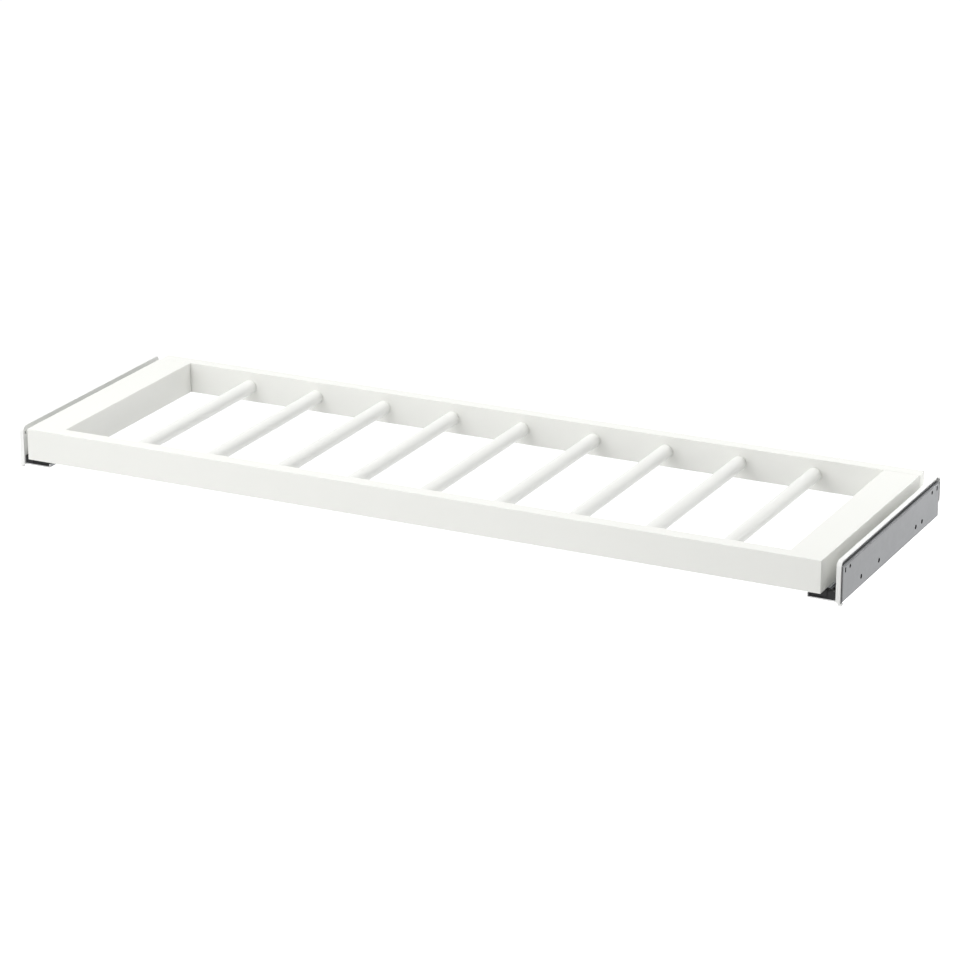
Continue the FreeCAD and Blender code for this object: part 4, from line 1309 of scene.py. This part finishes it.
    def tab(self, half: float, place: float, end: End, levels: Pair) -> Workpiece:
        """A stop tab that reaches inwards from the place of one end of a member."""
        return self.block("tab", half, (place, place - end.value * self.tab_length), levels)

    def grooves(self, offset: float) -> list[Workpiece]:
        """Tools for a pair of ball grooves.

        Args:
            offset: The balls' distance from the runner's middle line.

        Returns:
            The tools.
        """
        size = (self.groove, self.groove_length, Axis.Y, self.groove_sides)
        z = self.floor + self.ball_height
        places = [(self.centre + side.value * offset, 0.0, z) for side in Side]
        return [Workpiece.bar("groove", place, *size) for place in places]

    def holes(self, level: float, radius: float) -> list[Workpiece]:
        """Tools for the fastener holes through a web at a level."""
        places = [(self.centre, y, self.floor + level) for y in self.fasteners]
        return [Workpiece.bar("hole", place, radius, self.hole_length, Axis.Z) for place in places]

    def channel(self, name: str, section: Channel, y: Pair) -> Workpiece:
        """A roll-formed channel, open on top.

        Args:
            name: Name of the channel.
            section: Its section.
            y: Front and rear end.

        Returns:
            The channel.
        """
        piece = self.block(name, section.outer_half, y, (section.underside, section.top))
        piece.round_edges(edges_at("x", z=self.floor + section.underside), self.roll, segments=4)
        cut, levels = (y[0] - PAST, y[1] + PAST), (section.floor, section.top + PAST)
        return piece.combine(Merge.CUT, [self.block("inside", section.inner_half, cut, levels)])

    def track(self) -> Workpiece:
        """The fixed channel, with its front stop tab.

        Returns:
            The track.
        """
        piece = self.channel("track", self.track_section, (self.front, self.track_rear))
        piece.combine(Merge.CUT, self.grooves(self.outer_groove))
        piece.combine(Merge.CUT, self.holes(self.track_web, self.rivet_hole))
        piece.soften(self.edge, segments=1)
        tab = self.tab(self.tab_half, self.front, End.LOW, self.track_tab)
        return piece.combine(Merge.JOIN, [tab])

    def middle(self) -> Workpiece:
        """The middle channel, with grooves on both faces and a tab at each end.

        Returns:
            The middle member.
        """
        front = self.front + self.middle_setback
        piece = self.channel("middle", self.middle_section, (front, self.rear))
        piece.combine(Merge.CUT, self.grooves(self.outer_groove))
        piece.combine(Merge.CUT, self.grooves(self.inner_groove))
        piece.soften(self.edge, segments=1)
        tabs = [
            self.tab(self.tab_half, front, End.LOW, self.middle_front_tab),
            self.tab(self.tab_half, self.rear, End.HIGH, self.middle_rear_tab),
        ]
        return piece.combine(Merge.JOIN, tabs)

    def rack_member(self) -> Workpiece:
        """The hat section under the side board, with its rear stop tab.

        Returns:
            The rack member.
        """
        y = (self.front, self.rear)
        piece = self.block("member", self.hat_half, y, self.hat_levels)
        piece.combine(Merge.JOIN, [self.block("web", self.web_half, y, self.web_levels)])
        cut = (self.front - PAST, self.rear + PAST)
        hollow = self.block("hollow", self.hollow_half, cut, self.hollow_levels)
        piece.combine(Merge.CUT, [hollow, *self.grooves(self.inner_groove)])
        piece.combine(Merge.CUT, self.holes(sum(self.web_levels) / 2, self.screw_hole))
        piece.soften(self.edge, segments=1)
        tab = self.tab(self.hat_half, self.rear, End.HIGH, self.hat_tab)
        return piece.combine(Merge.JOIN, [tab])

    def rear_stop(self) -> Workpiece:
        """The block behind the track, with a rounded back.

        Returns:
            The stop block.
        """
        piece = self.block("stop", self.stop_half, self.stop_y, self.stop_levels)
        piece.round_edges(edges_at("x", y=self.stop_y[1]), self.stop_rounding, segments=5)
        return piece.soften(self.stop_edge)

    def cap(self) -> Workpiece:
        """The cap on the rack member's front end, with its plug.

        Returns:
            The cap.
        """
        piece = self.block("cap", self.cap_half, self.cap_y, self.cap_levels)
        piece.round_edges(edges_at("x", y=self.cap_y[0]), self.cap_rounding)
        plug_y = (self.cap_y[0] + self.plug_inset, self.plug_rear)
        plug = self.block("plug", self.plug_half, plug_y, self.plug_levels)
        return piece.combine(Merge.JOIN, [plug]).soften(self.cap_edge)

    def rivets(self) -> Workpiece:
        """Three rivets with round heads under the flange.

        Returns:
            The rivets, as shells of one piece.
        """
        parts = []
        for y in self.fasteners:
            head = self.rivet_head.stand(self.centre, y)
            parts.append(head.combine(Merge.JOIN, [self.rivet_shank.stand(self.centre, y)]))
        return parts[0].gather(parts[1:])

    def screws(self) -> Workpiece:
        """Three pan-head screws with a cross recess, pointing up.

        Returns:
            The screws, as shells of one piece.
        """
        parts = []
        for y in self.fasteners:
            head = self.screw_head.stand(self.centre, y)
            for across, along in (self.recess_arm, self.recess_arm[::-1]):
                x = (self.centre - across, self.centre + across)
                recess = Workpiece.box("recess", x, (y - along, y + along), self.recess_z)
                head.combine(Merge.CUT, [recess])
            parts.append(head.combine(Merge.JOIN, [self.screw_shank.stand(self.centre, y)]))
        return parts[0].gather(parts[1:])


@dataclass(frozen=True)
class GuideBlock:
    """The black block in a rail's front end, with its window, cheek and pocket.

    The places across are distances outwards from the runner's middle line.
    """

    side: Side
    inner: float = -10.7 * MM
    outer: float = 18.7 * MM
    cheek: float = 10.8 * MM
    window_half: float = 9.3 * MM
    front: float = -137.0 * MM
    wall: float = -129.5 * MM
    rear: float = -105.0 * MM
    height: float = 8.9 * MM
    sill: float = 1.5 * MM
    skin: float = 1.6 * MM
    edge: float = 0.25 * MM

    def across(self, *offsets: float) -> list[float]:
        """x of points at distances outwards from the runner's middle line."""
        return [self.side.value * (BallRunner.centre + offset) for offset in offsets]

    def build(self) -> None:
        """Mould the block, cut its window and pocket, and hang it in the rail."""
        turn, base = self.side.value, BallRunner.floor
        inner, outer, cheek = self.across(self.inner, self.outer, self.cheek)
        y, top = (self.front, self.wall), base + self.height
        piece = Workpiece.box(f"{self.side.word}_guide", (inner, outer), y, (base, top))
        piece.split((cheek, 0.0, 0.0), (1.0, 0.0, 0.0))
        piece.extrude(
            lambda centre, normal: normal.y > FACING and (centre.x - cheek) * turn > 0,
            (0.0, self.rear - self.wall, 0.0),
        )
        piece.round_edges(edges_at("x", y=self.rear), self.skin, segments=5)
        window_x = self.across(-self.window_half, self.window_half)
        pocket_x = (cheek + turn * self.skin, outer - turn * self.skin)
        z = (base + self.sill, top + PAST)
        window = Workpiece.box("window", window_x, (self.front - PAST, self.wall + PAST), z)
        pocket = Workpiece.box("pocket", pocket_x, (self.wall, self.rear - self.skin), z)
        piece.combine(Merge.CUT, [window, pocket]).soften(self.edge)
        piece.install(Body.RAILS.value, BLACK_PLASTIC, f"{self.side.word}_guide_block")


# --- studio ----------------------------------------------------------------------------


@dataclass(frozen=True)
class Lamp:
    """A soft rectangular lamp."""

    name: str
    place: Point
    target: Point
    size: float
    power: float

    def build(self) -> None:
        """Hang the lamp and aim it."""
        light = bpy.data.lights.new(self.name, "AREA")
        light.size = self.size
        light.energy = self.power
        item = bpy.data.objects.new(self.name, light)
        item.location = self.place
        aim = Vector(self.target) - Vector(self.place)
        item.rotation_euler = aim.to_track_quat("-Z", "Y").to_euler()
        bpy.context.scene.collection.objects.link(item)


@dataclass(frozen=True)
class Studio:
    """White sweep, soft lamps and the camera."""

    white: tuple[float, ...] = (1.0, 1.0, 1.0, 1.0)
    floor_height: float = -0.55
    floor_size: float = 60.0
    floor_colour: tuple[float, ...] = (0.9, 0.9, 0.9, 1.0)
    floor_roughness: float = 0.9
    floor_glow: float = 0.79
    ambient: float = 0.26
    lamps: tuple[Lamp, ...] = (
        Lamp("front_lamp", (-0.8, -2.5, 0.45), (0.0, -0.15, 0.0), 1.3, 27.0),
        Lamp("left_lamp", (-0.9, -0.2, 1.6), (-0.1, 0.0, 0.0), 1.0, 15.4),
        Lamp("top_lamp", (-0.1, -0.5, 2.4), (0.0, 0.0, 0.0), 2.0, 9.6),
        Lamp("right_lamp", (0.8, 0.5, 1.4), (0.3, 0.05, 0.0), 0.8, 6.5),
        Lamp("rear_lamp", (1.7, 1.1, 1.7), (0.2, 0.0, 0.0), 1.2, 8.0),
        Lamp("low_lamp", (0.8, 0.5, 0.1), (0.48, 0.12, 0.02), 0.2, 1.2),
    )
    camera_place: Point = (1.66934, -3.37184, 1.33955)
    camera_turn: Point = (70.6015, 0.0, 26.1524)
    lens: float = 139.113
    sensor: float = 36.0
    sight: float = 200.0

    def build(self) -> None:
        """Set up world, floor, lamps and camera."""
        self.world()
        self.floor()
        for lamp in self.lamps:
            lamp.build()
        self.camera()
        bpy.context.scene.view_settings.view_transform = "Standard"

    def seen(self, tree: bpy.types.NodeTree, low: float, high: float) -> Socket:
        """One value for rays that light, and another for rays that show the background.

        Args:
            tree: The node tree to add to.
            low: Value for rays that light.
            high: Value for rays that show the background, also in a mirror or glass.

        Returns:
            The value.
        """
        path = tree.nodes.new("ShaderNodeLightPath")
        mask = path.outputs["Is Camera Ray"]
        for name in ("Is Glossy Ray", "Is Transmission Ray"):
            either = tree.nodes.new("ShaderNodeMath")
            either.operation = "MAXIMUM"
            tree.links.new(mask, either.inputs[0])
            tree.links.new(path.outputs[name], either.inputs[1])
            mask = either.outputs[0]
        spread = tree.nodes.new("ShaderNodeMapRange")
        spread.inputs["To Min"].default_value = low
        spread.inputs["To Max"].default_value = high
        tree.links.new(mask, spread.inputs["Value"])
        return spread.outputs[0]

    def world(self) -> None:
        """A white surround that lights more softly than it shows."""
        world = bpy.data.worlds.new("surround")
        world.use_nodes = True
        tree = world.node_tree
        background = tree.nodes["Background"]
        background.inputs["Color"].default_value = self.white
        tree.links.new(self.seen(tree, self.ambient, 1.0), background.inputs["Strength"])
        bpy.context.scene.world = world

    def floor(self) -> None:
        """A white floor well below the rack, which hangs in the air as in a wardrobe."""
        bpy.ops.object.select_all(action="DESELECT")
        bpy.ops.mesh.primitive_plane_add(
            size=self.floor_size, location=(0.0, 0.0, self.floor_height)
        )
        floor = bpy.context.object
        floor.name = "studio_floor"
        material = bpy.data.materials.new("studio_floor")
        material.use_nodes = True
        tree = material.node_tree
        shader = tree.nodes["Principled BSDF"]
        shader.inputs["Base Color"].default_value = self.floor_colour
        shader.inputs["Roughness"].default_value = self.floor_roughness
        shader.inputs["Specular IOR Level"].default_value = 0.0
        shader.inputs["Emission Color"].default_value = self.white
        tree.links.new(self.seen(tree, 0.0, self.floor_glow), shader.inputs["Emission Strength"])
        self.open_below(tree, shader)
        floor.data.materials.append(material)
        floor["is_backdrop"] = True

    def open_below(self, tree: bpy.types.NodeTree, shader: bpy.types.Node) -> None:
        """Let the rack be seen through the floor from underneath.

        Args:
            tree: The floor's node tree.
            shader: Its shader.
        """
        geometry = tree.nodes.new("ShaderNodeNewGeometry")
        clear = tree.nodes.new("ShaderNodeBsdfTransparent")
        mix = tree.nodes.new("ShaderNodeMixShader")
        tree.links.new(geometry.outputs["Backfacing"], mix.inputs[0])
        tree.links.new(shader.outputs[0], mix.inputs[1])
        tree.links.new(clear.outputs[0], mix.inputs[2])
        tree.links.new(mix.outputs[0], tree.nodes["Material Output"].inputs["Surface"])

    def camera(self) -> None:
        """The camera, with no shift and no depth of field."""
        data = bpy.data.cameras.new("camera")
        data.lens = self.lens
        data.sensor_width = self.sensor
        data.clip_end = self.sight
        item = bpy.data.objects.new("camera", data)
        item.location = self.camera_place
        item.rotation_euler = [math.radians(turn) for turn in self.camera_turn]
        bpy.context.scene.collection.objects.link(item)
        bpy.context.scene.camera = item


def corners() -> FrameBox:
    """The whole object's box as two plain lists."""
    return [[float(value) for value in corner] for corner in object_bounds()]


def main() -> None:
    """Build every sub-assembly, then the studio."""
    logging.basicConfig(level=logging.INFO, format="%(message)s")
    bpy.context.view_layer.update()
    BoardFrame().build()
    HangingRods().build()
    for side in Side:
        SideRail(side).build()
    BallRunner().build()
    Studio().build()


if __name__ == "__main__":
    main()
